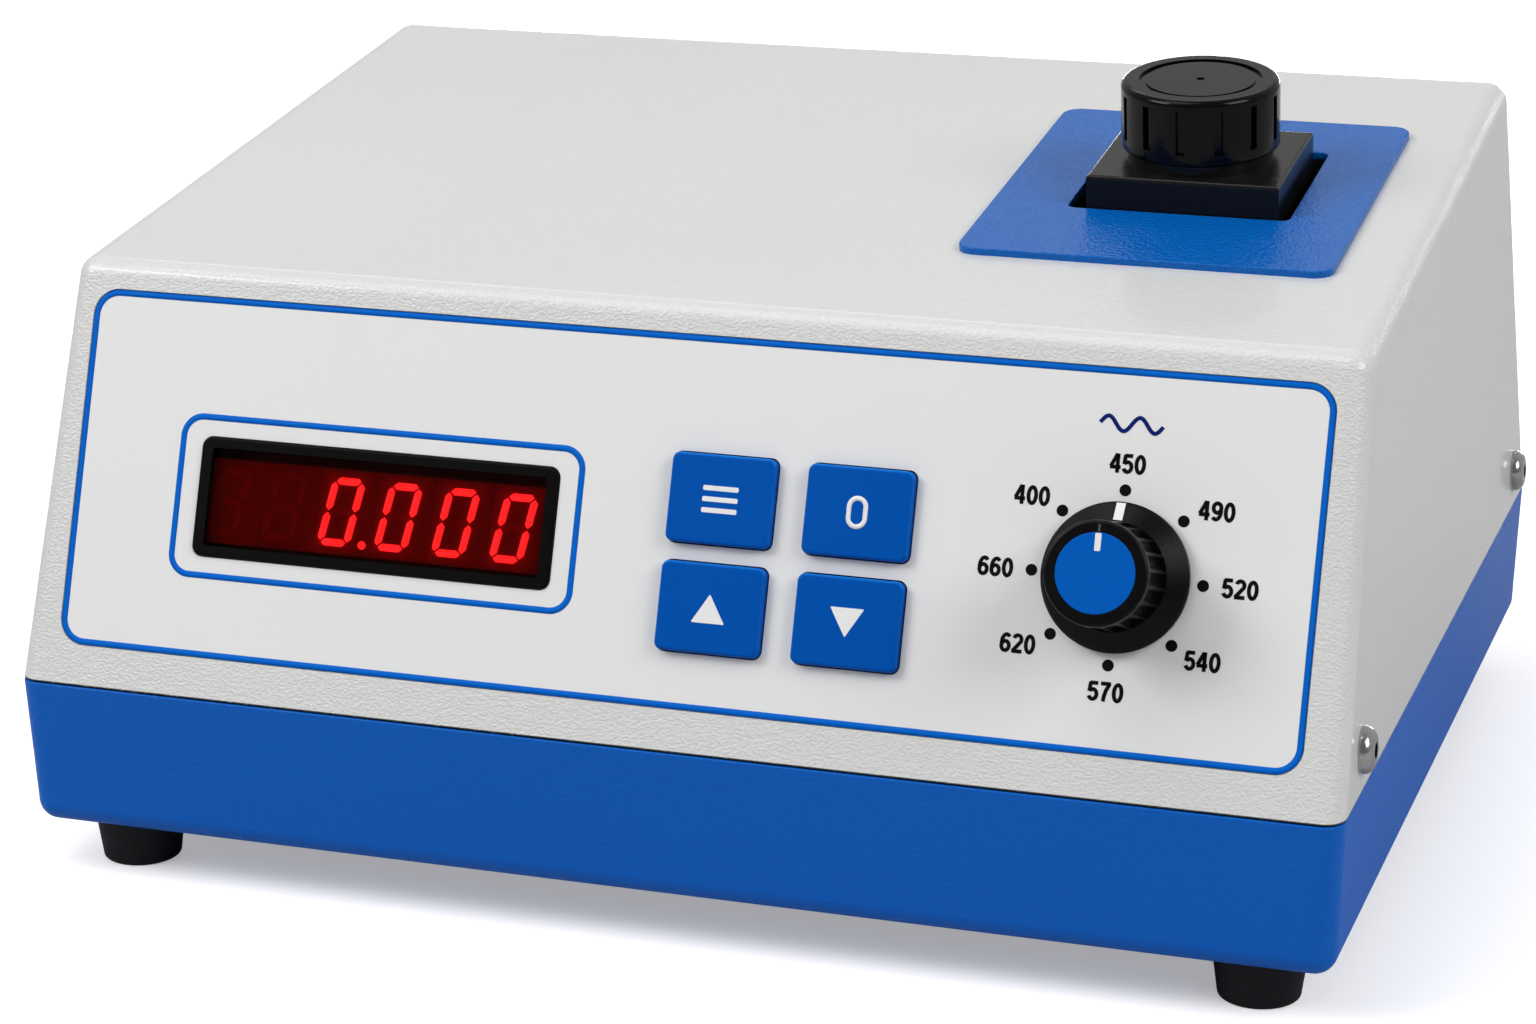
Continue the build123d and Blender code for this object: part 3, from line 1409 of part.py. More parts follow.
with BuildPart() as inlet_pins:
    with BuildSketch(inlet.offset(socket_floor + pin_length)):
        with Locations(*pin_places):
            Rectangle(pin_width, pin_height)
    extrude(amount=-socket_floor - pin_length - inlet_body_depth - tag_length)
inlet_pins.part.label = "inlet_pins"
export_step(inlet_pins.part, "parts/inlet_pins.step")

# Power switch: a housing in the rear wall and a rocker on two pins. Its upper end is pressed in.
rocker_side = Plane(origin=rocker_pivot.origin, x_dir=lower_rear.z_dir, z_dir=(1, 0, 0))
with BuildPart() as switch_housing:
    with BuildSketch(rocker_seat):
        Rectangle(housing_outer[0] + 2 * housing_flange, housing_outer[1] + 2 * housing_flange)
    extrude(amount=housing_flange_thickness)
    with BuildSketch(rocker_seat):
        Rectangle(*housing_outer)
    extrude(amount=-housing_depth)
    with BuildSketch(rocker_seat.offset(housing_flange_thickness)):
        Rectangle(*housing_inner)
    extrude(amount=housing_wall - housing_depth - housing_flange_thickness, mode=Mode.SUBTRACT)
    with BuildSketch(rocker_side.offset(-housing_outer[0] / 2)):
        Circle(rocker_pin_radius + fit_clearance)
    extrude(amount=housing_outer[0], mode=Mode.SUBTRACT)
switch_housing.part.label = "switch_housing"
export_step(switch_housing.part, "parts/switch_housing.step")

pin_span = rocker_width + 2 * rocker_pin_length
face_end = rocker_face + rocker_radius * rocker_slope
rocker_turned = Plane(
    origin=rocker_pivot.origin, x_dir=lower_rear.z_dir.rotate(Axis.X, rocker_angle), z_dir=(1, 0, 0)
)
with BuildPart() as power_rocker:
    with BuildSketch(rocker_turned.offset(-rocker_width / 2)):
        Circle(rocker_radius)
        Polygon(
            (-rocker_back, -rocker_radius),
            (-rocker_back, rocker_radius),
            (face_end, rocker_radius),
            (rocker_face, 0),
            (face_end, -rocker_radius),
            align=None,
            mode=Mode.INTERSECT,
        )
    extrude(amount=rocker_width)
    with BuildSketch(rocker_side.offset(-pin_span / 2)):
        Circle(rocker_pin_radius)
    extrude(amount=pin_span)
power_rocker.part.label = "power_rocker"
export_step(power_rocker.part, "parts/power_rocker.step")

# The same small screw everywhere inside: which plane its head rests on, and where on that plane
board_rear = Plane(origin=front_board.offset(board_back).origin, x_dir=panel.x_dir, z_dir=-panel.z_dir)
block_under = Plane(origin=(well_x, pedestal_y, plate_z), x_dir=(1, 0, 0), z_dir=(0, 0, -1))
screw_rows = [
    (board_rear, front_posts),
    (Plane.XY.offset(main_top), main_posts),
    (Plane.XY.offset(plate_top), plate_posts),
    (Plane.XY.offset(plate_top + bracket_thickness), bracket_screws + lamp_screws),
    (block_under, [(-block_screw_spread / 2, 0), (block_screw_spread / 2, 0)]),
    (Plane.XY.offset(core_z), core_screws),
    (detector.offset(board_thickness), detector_screws),
    (detent_seat.offset(detent_thickness), [(0, 0)]),
]
with BuildPart() as inner_screws:
    for base, places in screw_rows:
        with BuildSketch(base):
            with Locations(*places):
                Circle(screw_head_radius)
        extrude(amount=screw_head_height)
        with BuildSketch(base):
            with Locations(*places):
                Circle(screw_radius)
        extrude(amount=-screw_length)
inner_screws.part.label = "inner_screws"
export_step(inner_screws.part, "parts/inner_screws.step")
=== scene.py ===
import json
from math import copysign, cos, pi, radians, sin, tan
import bmesh
import bpy
from mathutils import Matrix, Vector
from mathutils.bvhtree import BVHTree


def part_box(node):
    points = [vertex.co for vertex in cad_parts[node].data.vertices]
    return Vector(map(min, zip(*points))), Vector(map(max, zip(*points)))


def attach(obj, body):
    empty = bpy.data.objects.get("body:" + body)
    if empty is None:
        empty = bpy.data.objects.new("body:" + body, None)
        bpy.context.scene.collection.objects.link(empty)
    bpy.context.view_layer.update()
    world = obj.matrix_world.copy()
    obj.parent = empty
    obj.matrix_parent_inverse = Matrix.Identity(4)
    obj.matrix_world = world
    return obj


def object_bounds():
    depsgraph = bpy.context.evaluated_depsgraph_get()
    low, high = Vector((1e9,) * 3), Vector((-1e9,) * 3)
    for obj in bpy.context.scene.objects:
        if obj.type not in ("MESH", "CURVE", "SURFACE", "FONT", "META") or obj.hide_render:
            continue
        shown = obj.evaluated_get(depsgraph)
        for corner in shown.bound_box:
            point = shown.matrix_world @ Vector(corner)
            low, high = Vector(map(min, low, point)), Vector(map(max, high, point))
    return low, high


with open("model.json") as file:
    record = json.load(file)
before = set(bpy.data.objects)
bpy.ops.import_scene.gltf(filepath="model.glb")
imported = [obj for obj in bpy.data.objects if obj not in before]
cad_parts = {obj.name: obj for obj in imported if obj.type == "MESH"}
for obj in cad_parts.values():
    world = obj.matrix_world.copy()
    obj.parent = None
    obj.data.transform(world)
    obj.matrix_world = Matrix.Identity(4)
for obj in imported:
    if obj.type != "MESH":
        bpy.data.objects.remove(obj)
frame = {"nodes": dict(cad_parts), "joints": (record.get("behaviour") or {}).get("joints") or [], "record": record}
nodes = frame["nodes"]
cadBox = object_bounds()
scene = bpy.context.scene
print("frame loaded with", len(nodes), "nodes")

# Camera, where the photograph was taken from
cameraView = {
    "lens": 92.485,
    "azimuth": 18.76,
    "elevation": 17.28,
    "roll": -0.493,
    "place": (0.2601, -0.8035, 0.3211),
}
camera = bpy.data.objects.new("camera", bpy.data.cameras.new("camera"))
scene.collection.objects.link(camera)
camera.data.lens = cameraView["lens"]
camera.data.sensor_width = 36.0
camera.data.clip_start = 0.01
camera.data.clip_end = 50.0
camera.matrix_world = (
    Matrix.Translation(cameraView["place"])
    @ Matrix.Rotation(radians(cameraView["azimuth"]), 4, "Z")
    @ Matrix.Rotation(radians(90 - cameraView["elevation"]), 4, "X")
    @ Matrix.Rotation(radians(cameraView["roll"]), 4, "Z")
)
scene.camera = camera
print("camera set")

# Places on the object, from the frame
turnJoint = next(joint for joint in frame["joints"] if joint["name"] == "filter_turn")


def placeAt(origin, outward, across=(1, 0, 0)):
    # X across, Y up the surface, Z out of it
    across = Vector(across)
    outward = Vector(outward).normalized()
    place = Matrix((across, outward.cross(across), outward)).transposed().to_4x4()
    place.translation = Vector(origin)
    return place


def measure(node, place, above=None):
    # Lowest and highest corner of a node along the axes of a place, or of its part above a level
    inward = place.inverted()
    points = [inward @ vertex.co for vertex in nodes[node].data.vertices]
    if above is not None:
        points = [point for point in points if point.z > above]
    low = Vector([min(point[i] for point in points) for i in range(3)])
    high = Vector([max(point[i] for point in points) for i in range(3)])
    return low, high


panelPlace = placeAt(turnJoint["pos_m"], turnJoint["axis"])
filmLow, filmHigh = measure("front_overlay", panelPlace)
filmFace = filmHigh.z


# Shader tools
def addNode(tree, kind, inputs=None, **settings):
    node = tree.nodes.new(kind)
    for name, value in settings.items():
        setattr(node, name, value)
    for name, value in (inputs or {}).items():
        if isinstance(value, bpy.types.NodeSocket):
            tree.links.new(value, node.inputs[name])
        else:
            node.inputs[name].default_value = value
    return node


def calc(tree, operation, *values):
    node = addNode(tree, "ShaderNodeMath", dict(enumerate(values)), operation=operation)
    return node.outputs[0]


def scaled(tree, vector, factor):
    node = addNode(tree, "ShaderNodeVectorMath", {0: vector, "Scale": factor}, operation="SCALE")
    return node.outputs[0]


def noise(tree, vector, scale=1.0, detail=2.0, roughness=0.5, distortion=0.0):
    values = {
        "Vector": vector, "Scale": scale, "Detail": detail, "Roughness": roughness, "Distortion": distortion
    }
    return addNode(tree, "ShaderNodeTexNoise", values).outputs[0]


def ranged(tree, value, fromLow, fromHigh, toLow=0.0, toHigh=1.0, kind="LINEAR"):
    values = {0: value, 1: fromLow, 2: fromHigh, 3: toLow, 4: toHigh}
    return addNode(tree, "ShaderNodeMapRange", values, interpolation_type=kind).outputs[0]


def mixed(tree, factor, first, second):
    return addNode(tree, "ShaderNodeMix", {0: factor, 6: first, 7: second}, data_type="RGBA").outputs[2]


def times(tree, first, second):
    return calc(tree, "MULTIPLY", first, second)


def xyzOf(tree, vector):
    return addNode(tree, "ShaderNodeSeparateXYZ", {0: vector}).outputs


def cellsOf(tree, vector, size):
    # Coordinates counted in cells of a size
    return scaled(tree, vector, calc(tree, "DIVIDE", 1.0, size))


def stretched(tree, vector, factors):
    return addNode(tree, "ShaderNodeVectorMath", {0: vector, 1: factors}, operation="MULTIPLY").outputs[0]


def newGroup(name, inputs, outputs):
    tree = bpy.data.node_groups.new(name, "ShaderNodeTree")
    for label, value in inputs.items():
        kind = "NodeSocketVector" if label == "Vector" else "NodeSocketFloat"
        if isinstance(value, tuple):
            kind = "NodeSocketColor"
        socket = tree.interface.new_socket(label, in_out="INPUT", socket_type=kind)
        if label != "Vector":
            socket.default_value = value
    for label in outputs:
        kind = "NodeSocketColor" if label == "Color" else "NodeSocketFloat"
        tree.interface.new_socket(label, in_out="OUTPUT", socket_type=kind)
    return tree, tree.nodes.new("NodeGroupInput").outputs, tree.nodes.new("NodeGroupOutput").inputs


def useGroup(tree, name, inputs):
    return addNode(tree, "ShaderNodeGroup", inputs, node_tree=bpy.data.node_groups[name]).outputs


def makeOrangePeel():
    # Rounded bumps of sprayed paint or spark-eroded plastic, drawn out along X by the stretch
    inputs = {"Vector": None, "Bump Size": 0.0015, "Stretch": 1.0, "Fineness": 0.35}
    tree, given, result = newGroup("orangePeel", inputs, ["Height"])
    x, y, z = xyzOf(tree, given["Vector"])
    x = calc(tree, "DIVIDE", x, given["Stretch"])
    spread = addNode(tree, "ShaderNodeCombineXYZ", {0: x, 1: y, 2: z})
    cells = cellsOf(tree, spread.outputs[0], given["Bump Size"])
    lumps = ranged(tree, noise(tree, cells, detail=0.0, distortion=0.4), 0.32, 0.7, kind="SMOOTHSTEP")
    ripples = times(tree, noise(tree, scaled(tree, cells, 2.3), detail=1.0), given["Fineness"])
    tree.links.new(calc(tree, "ADD", lumps, ripples), result["Height"])


def makeSurfaceDrift():
    # Slow change of tone over a moulding, with a faint speck, and a mask for the roughness
    inputs = {"Vector": None, "Color": (0.5, 0.5, 0.5, 1.0), "Patch Size": 0.08, "Drift": 0.05, "Speck": 0.02}
    tree, given, result = newGroup("surfaceDrift", inputs, ["Color", "Shade"])
    patches = noise(tree, cellsOf(tree, given["Vector"], given["Patch Size"]), detail=3.0)
    specks = noise(tree, given["Vector"], scale=2600.0, detail=1.0)
    slow = times(tree, calc(tree, "SUBTRACT", patches, 0.5), given["Drift"])
    quick = times(tree, calc(tree, "SUBTRACT", specks, 0.5), given["Speck"])
    value = calc(tree, "ADD", calc(tree, "ADD", slow, quick), 1.0)
    tone = addNode(tree, "ShaderNodeHueSaturation", {"Value": value, "Color": given["Color"]})
    tree.links.new(tone.outputs[0], result["Color"])
    tree.links.new(patches, result["Shade"])


def makeHandlingMarks():
    # Smears and fine scratches, which change the gloss of dark plastic and metal
    tree, given, result = newGroup("handlingMarks", {"Vector": None, "Mark Size": 0.006}, ["Mask"])
    cells = cellsOf(tree, given["Vector"], given["Mark Size"])
    smears = ranged(tree, noise(tree, cells, detail=4.0, roughness=0.6, distortion=1.5), 0.45, 0.72)
    drawn = stretched(tree, cells, (9.0, 0.7, 5.0))
    hairs = ranged(tree, noise(tree, drawn, distortion=0.3), 0.66, 0.72, 0.0, 0.6)
    tree.links.new(calc(tree, "MAXIMUM", smears, hairs), result["Mask"])


def makeDrawnLines():
    # Lines of rolled, brushed or turned metal: fine across, long along
    tree, given, result = newGroup("drawnLines", {"Vector": None, "Line Size": 0.0002}, ["Height"])
    cells = cellsOf(tree, given["Vector"], given["Line Size"])
    tree.links.new(noise(tree, stretched(tree, cells, (0.03, 1.0, 1.0))), result["Height"])


def makeSettledDust():
    # Pale dust where a surface faces up, in soft uneven patches
    tree, given, result = newGroup("settledDust", {"Vector": None, "Amount": 0.2}, ["Mask"])
    normal = addNode(tree, "ShaderNodeNewGeometry").outputs["Normal"]
    upward = ranged(tree, xyzOf(tree, normal)["Z"], 0.2, 1.0)
    patches = noise(tree, given["Vector"], scale=140.0, detail=5.0, roughness=0.7)
    settled = times(tree, upward, ranged(tree, patches, 0.35, 0.75))
    tree.links.new(times(tree, settled, given["Amount"]), result["Mask"])


for makeGroup in (makeOrangePeel, makeSurfaceDrift, makeHandlingMarks, makeDrawnLines, makeSettledDust):
    makeGroup()
print("shader groups built")


def newMaterial(name, plain):
    # Material with one shader, whose plain values are set on its own sockets
    material = bpy.data.materials.new(name)
    material.use_nodes = True
    tree = material.node_tree
    tree.nodes.clear()
    shader = addNode(tree, "ShaderNodeBsdfPrincipled", plain)
    addNode(tree, "ShaderNodeOutputMaterial", {0: shader.outputs[0]})
    coords = addNode(tree, "ShaderNodeTexCoord").outputs["Object"]
    return material, tree, shader, coords


def bumpBy(tree, shader, height, depth):
    bump = addNode(tree, "ShaderNodeBump", {"Strength": 1.0, "Distance": depth, "Height": height})
    tree.links.new(bump.outputs[0], shader.inputs["Normal"])


def toned(tree, coords, color, patch, drift, speck):
    # Colour that changes slowly over a piece, and the mask of that change
    if isinstance(color, tuple):
        color = (*color, 1.0)
    return useGroup(tree, "surfaceDrift", {
        "Vector": coords, "Color": color, "Patch Size": patch, "Drift": drift, "Speck": speck,
    })


def worn(tree, coords, gloss, amount, size):
    # Roughness with handling marks in it
    marks = useGroup(tree, "handlingMarks", {"Vector": coords, "Mark Size": size})
    return calc(tree, "ADD", times(tree, marks["Mask"], amount), gloss)


# Where the painted highlight goes on a key's rounded edge: cosines to the way out of the panel, and to the way up
# it
keyEdge = {"face": 0.97, "round": 0.72, "low": 0.5, "wall": 0.1, "under": -0.2, "over": 0.3, "strength": 0.8}
dustColor = (0.55, 0.54, 0.52, 1.0)


def edgeHighlightMask(tree):
    # Mask of the rounded edges of a key, painted lighter as a highlight except at its foot
    normal = addNode(tree, "ShaderNodeNewGeometry").outputs["Normal"]
    ways = panelPlace.to_3x3().col
    cosines = []
    for way in (ways[2], ways[1]):
        dot = addNode(tree, "ShaderNodeVectorMath", {0: normal, 1: way}, operation="DOT_PRODUCT")
        cosines.append(dot.outputs["Value"])
    outward, upward = cosines
    bent = ranged(tree, outward, keyEdge["round"], keyEdge["face"], 1.0, 0.0)
    clear = ranged(tree, outward, keyEdge["wall"], keyEdge["low"])
    upper = ranged(tree, upward, keyEdge["under"], keyEdge["over"], 0.0, keyEdge["strength"])
    return times(tree, times(tree, bent, clear), upper)


def paintedShadeMask(tree, coords, look):
    # Mask of painted shade: a dark line where the shell stands on the lower one, and near black under the top
    # plate, so that the wall of its opening looks shaded
    place = xyzOf(tree, coords)
    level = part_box("upper_shell")[0].z
    seam = ranged(tree, place[2], level + look["seam"] / 2, level + look["seam"], 1.0, 0.0)
    low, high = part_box("top_plate")
    under = 1.0
    for i in (0, 1):
        away = calc(tree, "ABSOLUTE", calc(tree, "SUBTRACT", place[i], (low[i] + high[i]) / 2))
        edge = (high[i] - low[i]) / 2 - look["plateRim"]
        under = times(tree, under, ranged(tree, away, edge - look["shadeFade"], edge, 1.0, 0.0))
    return calc(tree, "MAXIMUM", seam, under)


def mouldedFinish(name, look):
    # Paint, moulded plastic and rubber
    material, tree, shader, coords = newMaterial(name, {
        "Coat Weight": look.get("coat", 0.0), "Coat Roughness": look.get("coatRough", 0.15),
        "Specular IOR Level": look.get("shine", 0.5),
    })
    patch, drift, speck = look.get("patch", 0.08), look.get("drift", 0.06), look.get("speck", 0.03)
    tone = toned(tree, coords, look["color"], patch, drift, speck)
    color = tone["Color"]
    if "dust" in look:
        dust = useGroup(tree, "settledDust", {"Vector": coords, "Amount": look["dust"]})
        color = mixed(tree, dust["Mask"], color, dustColor)
    if "paintedEdgeHighlight" in look:
        # Painted highlight: the key's rounded edges get a paler blue, most where they face up
        color = mixed(tree, edgeHighlightMask(tree), color, (*look["paintedEdgeHighlight"], 1.0))
    if "seam" in look:
        # Painted shade: the seam line and the shell under the top plate are darkened
        color = mixed(tree, paintedShadeMask(tree, coords, look), color, (*look["shadeColor"], 1.0))
    tree.links.new(color, shader.inputs["Base Color"])
    rough, spread = look["rough"], look.get("spread", 0.04)
    gloss = ranged(tree, tone["Shade"], 0.3, 0.7, rough - spread, rough + spread)
    if "marks" in look:
        gloss = worn(tree, coords, gloss, look["marks"], look.get("markSize", 0.006))
    tree.links.new(gloss, shader.inputs["Roughness"])
    peel = useGroup(tree, "orangePeel", {
        "Vector": coords, "Bump Size": look.get("bump", 0.0006), "Stretch": look.get("stretch", 1.0),
        "Fineness": look.get("fine", 0.35),
    })
    bumpBy(tree, shader, peel["Height"], look.get("depth", 0.000005))
    return material


def metalFinish(name, look):
    material, tree, shader, coords = newMaterial(name, {"Metallic": 1.0})
    tone = toned(tree, coords, look["color"], patch=0.02, drift=0.12, speck=0.05)
    tree.links.new(tone["Color"], shader.inputs["Base Color"])
    gloss = worn(tree, coords, look["rough"], amount=0.12, size=0.004)
    tree.links.new(gloss, shader.inputs["Roughness"])
    lines = useGroup(tree, "drawnLines", {"Vector": coords, "Line Size": look.get("line", 0.0003)})
    bumpBy(tree, shader, lines["Height"], look.get("depth", 0.000006))
    return material


def glassFinish(name, look):
    plain = {"Metallic": 0.0, "Transmission Weight": 1.0, "IOR": look.get("ior", 1.5)}
    material, tree, shader, coords = newMaterial(name, plain)
    patch, drift = look.get("patch", 0.01), look.get("drift", 0.03)
    tone = toned(tree, coords, look["color"], patch, drift, speck=0.0)
    tree.links.new(tone["Color"], shader.inputs["Base Color"])
    gloss = worn(tree, coords, look.get("rough", 0.02), look.get("marks", 0.03), look.get("markSize", 0.008))
    tree.links.new(gloss, shader.inputs["Roughness"])
    return material


# Paint, plastic and rubber of the pieces
mouldedLooks = {
    "case_grey": {
        "color": (0.705, 0.705, 0.695), "rough": 0.36, "spread": 0.05, "patch": 0.12, "drift": 0.05,
        "speck": 0.03, "bump": 0.0005, "stretch": 1.5, "depth": 0.00007, "fine": 0.3, "coat": 0.5,
        # the seam line and the shell under the top plate are painted dark as shade
        "coatRough": 0.1, "seam": 0.0003, "plateRim": 0.003, "shadeFade": 0.0002,
        "shadeColor": (0.012, 0.012, 0.014),
    },
    "case_blue": {
        "color": (0.0, 0.115, 0.535), "rough": 0.4, "spread": 0.05, "patch": 0.1, "drift": 0.08,
        "speck": 0.06, "bump": 0.0008, "stretch": 1.3, "depth": 0.00004, "fine": 0.3, "shine": 0.17,
    },
    "plate_blue": {
        "color": (0.0, 0.118, 0.48), "rough": 0.2, "spread": 0.03, "patch": 0.05, "drift": 0.08,
        "speck": 0.05, "bump": 0.0007, "stretch": 1.2, "depth": 0.00012, "fine": 0.3, "shine": 0.23,
    },
    "overlay": {
        "color": (0.815, 0.815, 0.81), "rough": 0.42, "shine": 0.3, "spread": 0.03, "patch": 0.15,
        "drift": 0.03, "speck": 0.02, "bump": 0.00035, "depth": 0.000003,
    },
    "black_frame": {
        "color": (0.0025, 0.002, 0.002), "rough": 0.4, "shine": 0.07, "marks": 0.08, "bump": 0.0004,
        "depth": 0.000006,
    },
    "black_part": {"color": (0.02, 0.02, 0.022), "rough": 0.5, "bump": 0.0004, "depth": 0.000006},
    "key_blue": {
        "color": (0.0, 0.082, 0.42), "rough": 0.36, "spread": 0.03, "patch": 0.03, "drift": 0.06,
        # the last colour is a painted highlight on the rounded edges
        "speck": 0.04, "bump": 0.00045, "depth": 0.000004, "shine": 0.05, "paintedEdgeHighlight": (0.0, 0.2, 0.72),
    },
    "knob_black": {
        "color": (0.0015, 0.0015, 0.002), "rough": 0.28, "marks": 0.1, "markSize": 0.004, "bump": 0.0004,
        "depth": 0.000007, "dust": 0.006, "shine": 0.14,
    },
    "insert_blue": {
        "color": (0.0, 0.105, 0.49), "rough": 0.38, "patch": 0.01, "drift": 0.05, "bump": 0.0003,
        "depth": 0.000003, "shine": 0.06,
    },
    "block_black": {
        "color": (0.006, 0.006, 0.0065), "rough": 0.2, "marks": 0.1, "bump": 0.0012, "depth": 0.00001,
        "dust": 0.005, "shine": 0.24,
    },
    "cap_black": {
        "color": (0.0012, 0.0012, 0.0016), "rough": 0.1, "marks": 0.1, "markSize": 0.008, "bump": 0.0009,
        "depth": 0.000006, "dust": 0.006, "shine": 0.15,
    },
    "rubber": {
        "color": (0.009, 0.009, 0.011), "rough": 0.55, "shine": 0.2, "marks": 0.1, "bump": 0.0005,
        "depth": 0.00002, "dust": 0.02,
    },
    "rocker_black": {
        "color": (0.01, 0.01, 0.01), "rough": 0.22, "marks": 0.1, "bump": 0.0005, "depth": 0.000003,
    },
}

# Metals, as rolled, turned or blackened
metalLooks = {
    "steel": {"color": (0.56, 0.56, 0.56), "rough": 0.28},
    "screw_steel": {"color": (0.44, 0.43, 0.42), "rough": 0.15, "line": 0.00015, "depth": 0.000003},
    "dark_steel": {"color": (0.09, 0.09, 0.1), "rough": 0.4},
    "brass": {"color": (0.7, 0.5, 0.2), "rough": 0.26},
    "black_metal": {"color": (0.03, 0.03, 0.032), "rough": 0.45},
    "bracket_metal": {"color": (0.6, 0.61, 0.63), "rough": 0.34, "line": 0.0005},
}

# Clear and coloured glass, and the red window of the display
glassLooks = {
    "lens": {"color": (0.93, 0.97, 1.0), "ior": 1.52},
    "lamp_glass": {"color": (1.0, 0.97, 0.92), "ior": 1.47},
    "glass_450": {"color": (0.08, 0.2, 0.9)},
    "glass_490": {"color": (0.06, 0.6, 0.75)},
    "glass_520": {"color": (0.08, 0.65, 0.25)},
    "glass_540": {"color": (0.3, 0.75, 0.08)},
    "glass_570": {"color": (0.8, 0.78, 0.08)},
    "glass_620": {"color": (0.95, 0.35, 0.03)},
    "glass_660": {"color": (0.75, 0.04, 0.04)},
    "glass_400": {"color": (0.3, 0.08, 0.7)},
    "red_window": {
        "color": (0.7, 0.08, 0.08), "ior": 1.14, "rough": 0.04, "patch": 0.03, "drift": 0.06, "marks": 0.02,
        "markSize": 0.01,
    },
}

# Inks of the printed marks, and the foam behind the vents
inkLooks = {
    "inkBlue": {"color": (0.0, 0.13, 0.6), "rough": 0.5, "shine": 0.06},
    "inkNavy": {"color": (0.0, 0.012, 0.14), "rough": 0.5, "shine": 0.1},
    "inkBlack": {"color": (0.002, 0.002, 0.002), "rough": 0.5, "shine": 0.1},
    "inkGrey": {"color": (0.07, 0.07, 0.07), "rough": 0.5, "shine": 0.1},
    "inkWhite": {"color": (0.84, 0.84, 0.84), "rough": 0.45},
    "foamBlack": {"color": (0.01, 0.01, 0.01), "rough": 0.85, "shine": 0.1, "bump": 0.0007, "depth": 0.0004},
}

materials = {}
allLooks = {mouldedFinish: {**mouldedLooks, **inkLooks}, metalFinish: metalLooks, glassFinish: glassLooks}
for finish, looks in allLooks.items():
    for name, look in looks.items():
        materials[name] = finish(name, look)
print("plain finishes made:", len(materials))

# Display: glowing segments and the digit blocks behind the window
displayLook = {
    "glow": (1.0, 0.13, 0.14),
    "glowStrength": 2.6,
    "glowEdge": (0.4, 0.004, 0.004),
    "joint": (0.1, 0.002, 0.002),
    # painted glow of the lit digits on the plastic round them
    "halo": (1.0, 0.04, 0.03),
    "haloStrength": 0.16,
    "haloReach": 0.0011,
    "body": (0.135, 0.003, 0.003),
    "ghost": (0.175, 0.004, 0.004),
    "jointWidth": 0.00013,
    "pitch": 0.0127,
    "digitWidth": 0.0074,
    "digitHeight": 0.0142,
    "lineWidth": 0.0015,
    "slant": 10.0,
    "litDigits": 4,
}


def makeDigitField(look):
    # Halo round the lit digits and the mitred joints of their segments, from the place on the panel
    low, high = measure("lit_segments", panelPlace)
    slope = tan(radians(look["slant"]))
    inputs = {"Vector": None, "Reach": 0.001, "Joint Width": 0.0002}
    tree, given, result = newGroup("digitField", inputs, ["Halo", "Joint"])
    local = addNode(tree, "ShaderNodeMapping", {
        "Vector": given["Vector"], "Location": panelPlace.translation, "Rotation": panelPlace.to_euler(),
    }, vector_type="TEXTURE")
    across, up = xyzOf(tree, local.outputs[0])[:2]
    lastCentre = high.x - look["digitWidth"] / 2 - slope * look["digitHeight"] / 2
    firstCentre = lastCentre - (look["litDigits"] - 1) * look["pitch"]
    rise = calc(tree, "SUBTRACT", up, (low.y + high.y) / 2)
    upright = calc(tree, "SUBTRACT", across, times(tree, rise, slope))
    step = calc(tree, "DIVIDE", calc(tree, "SUBTRACT", upright, firstCentre), look["pitch"])
    index = calc(tree, "MAXIMUM", calc(tree, "ROUND", step), 0.0)
    index = calc(tree, "MINIMUM", index, look["litDigits"] - 1.0)
    away = calc(tree, "ABSOLUTE", times(tree, calc(tree, "SUBTRACT", step, index), look["pitch"]))
    besides = calc(tree, "SUBTRACT", away, (look["digitWidth"] - look["lineWidth"]) / 2)
    halfHeight = (look["digitHeight"] - look["lineWidth"]) / 2
    beyond = calc(tree, "SUBTRACT", calc(tree, "ABSOLUTE", rise), halfHeight)
    squares = [calc(tree, "POWER", calc(tree, "MAXIMUM", side, 0.0), 2.0) for side in (besides, beyond)]
    outside = calc(tree, "SQRT", calc(tree, "ADD", *squares))
    inside = calc(tree, "MINIMUM", calc(tree, "MAXIMUM", besides, beyond), 0.0)
    distance = calc(tree, "ABSOLUTE", calc(tree, "ADD", outside, inside))
    fall = calc(tree, "DIVIDE", distance, times(tree, given["Reach"], -1.0))
    tree.links.new(calc(tree, "EXPONENT", fall), result["Halo"])
    mitre = calc(tree, "ABSOLUTE", calc(tree, "SUBTRACT", besides, beyond))
    wide = given["Joint Width"]
    tree.links.new(ranged(tree, mitre, times(tree, wide, 0.5), wide, 1.0, 0.0), result["Joint"])


def digitField(tree, coords, look):
    return useGroup(tree, "digitField", {
        "Vector": coords, "Reach": look["haloReach"], "Joint Width": look["jointWidth"],
    })


def segmentFinish(name, look):
    # A segment glows unevenly along it, and its ends are dark
    plain = {"Emission Strength": look["glowStrength"], "Roughness": 0.4}
    material, tree, shader, coords = newMaterial(name, plain)
    field = digitField(tree, coords, look)
    shade = ranged(tree, noise(tree, coords, scale=900.0), 0.3, 0.7, 0.75, 1.0)
    core = ranged(tree, field["Halo"], 0.5, 1.0, 0.65, 1.0)
    color = mixed(tree, times(tree, shade, core), (*look["glowEdge"], 1.0), (*look["glow"], 1.0))
    color = mixed(tree, field["Joint"], color, (*look["joint"], 1.0))
    tree.links.new(color, shader.inputs["Base Color"])
    tree.links.new(color, shader.inputs["Emission Color"])
    return material


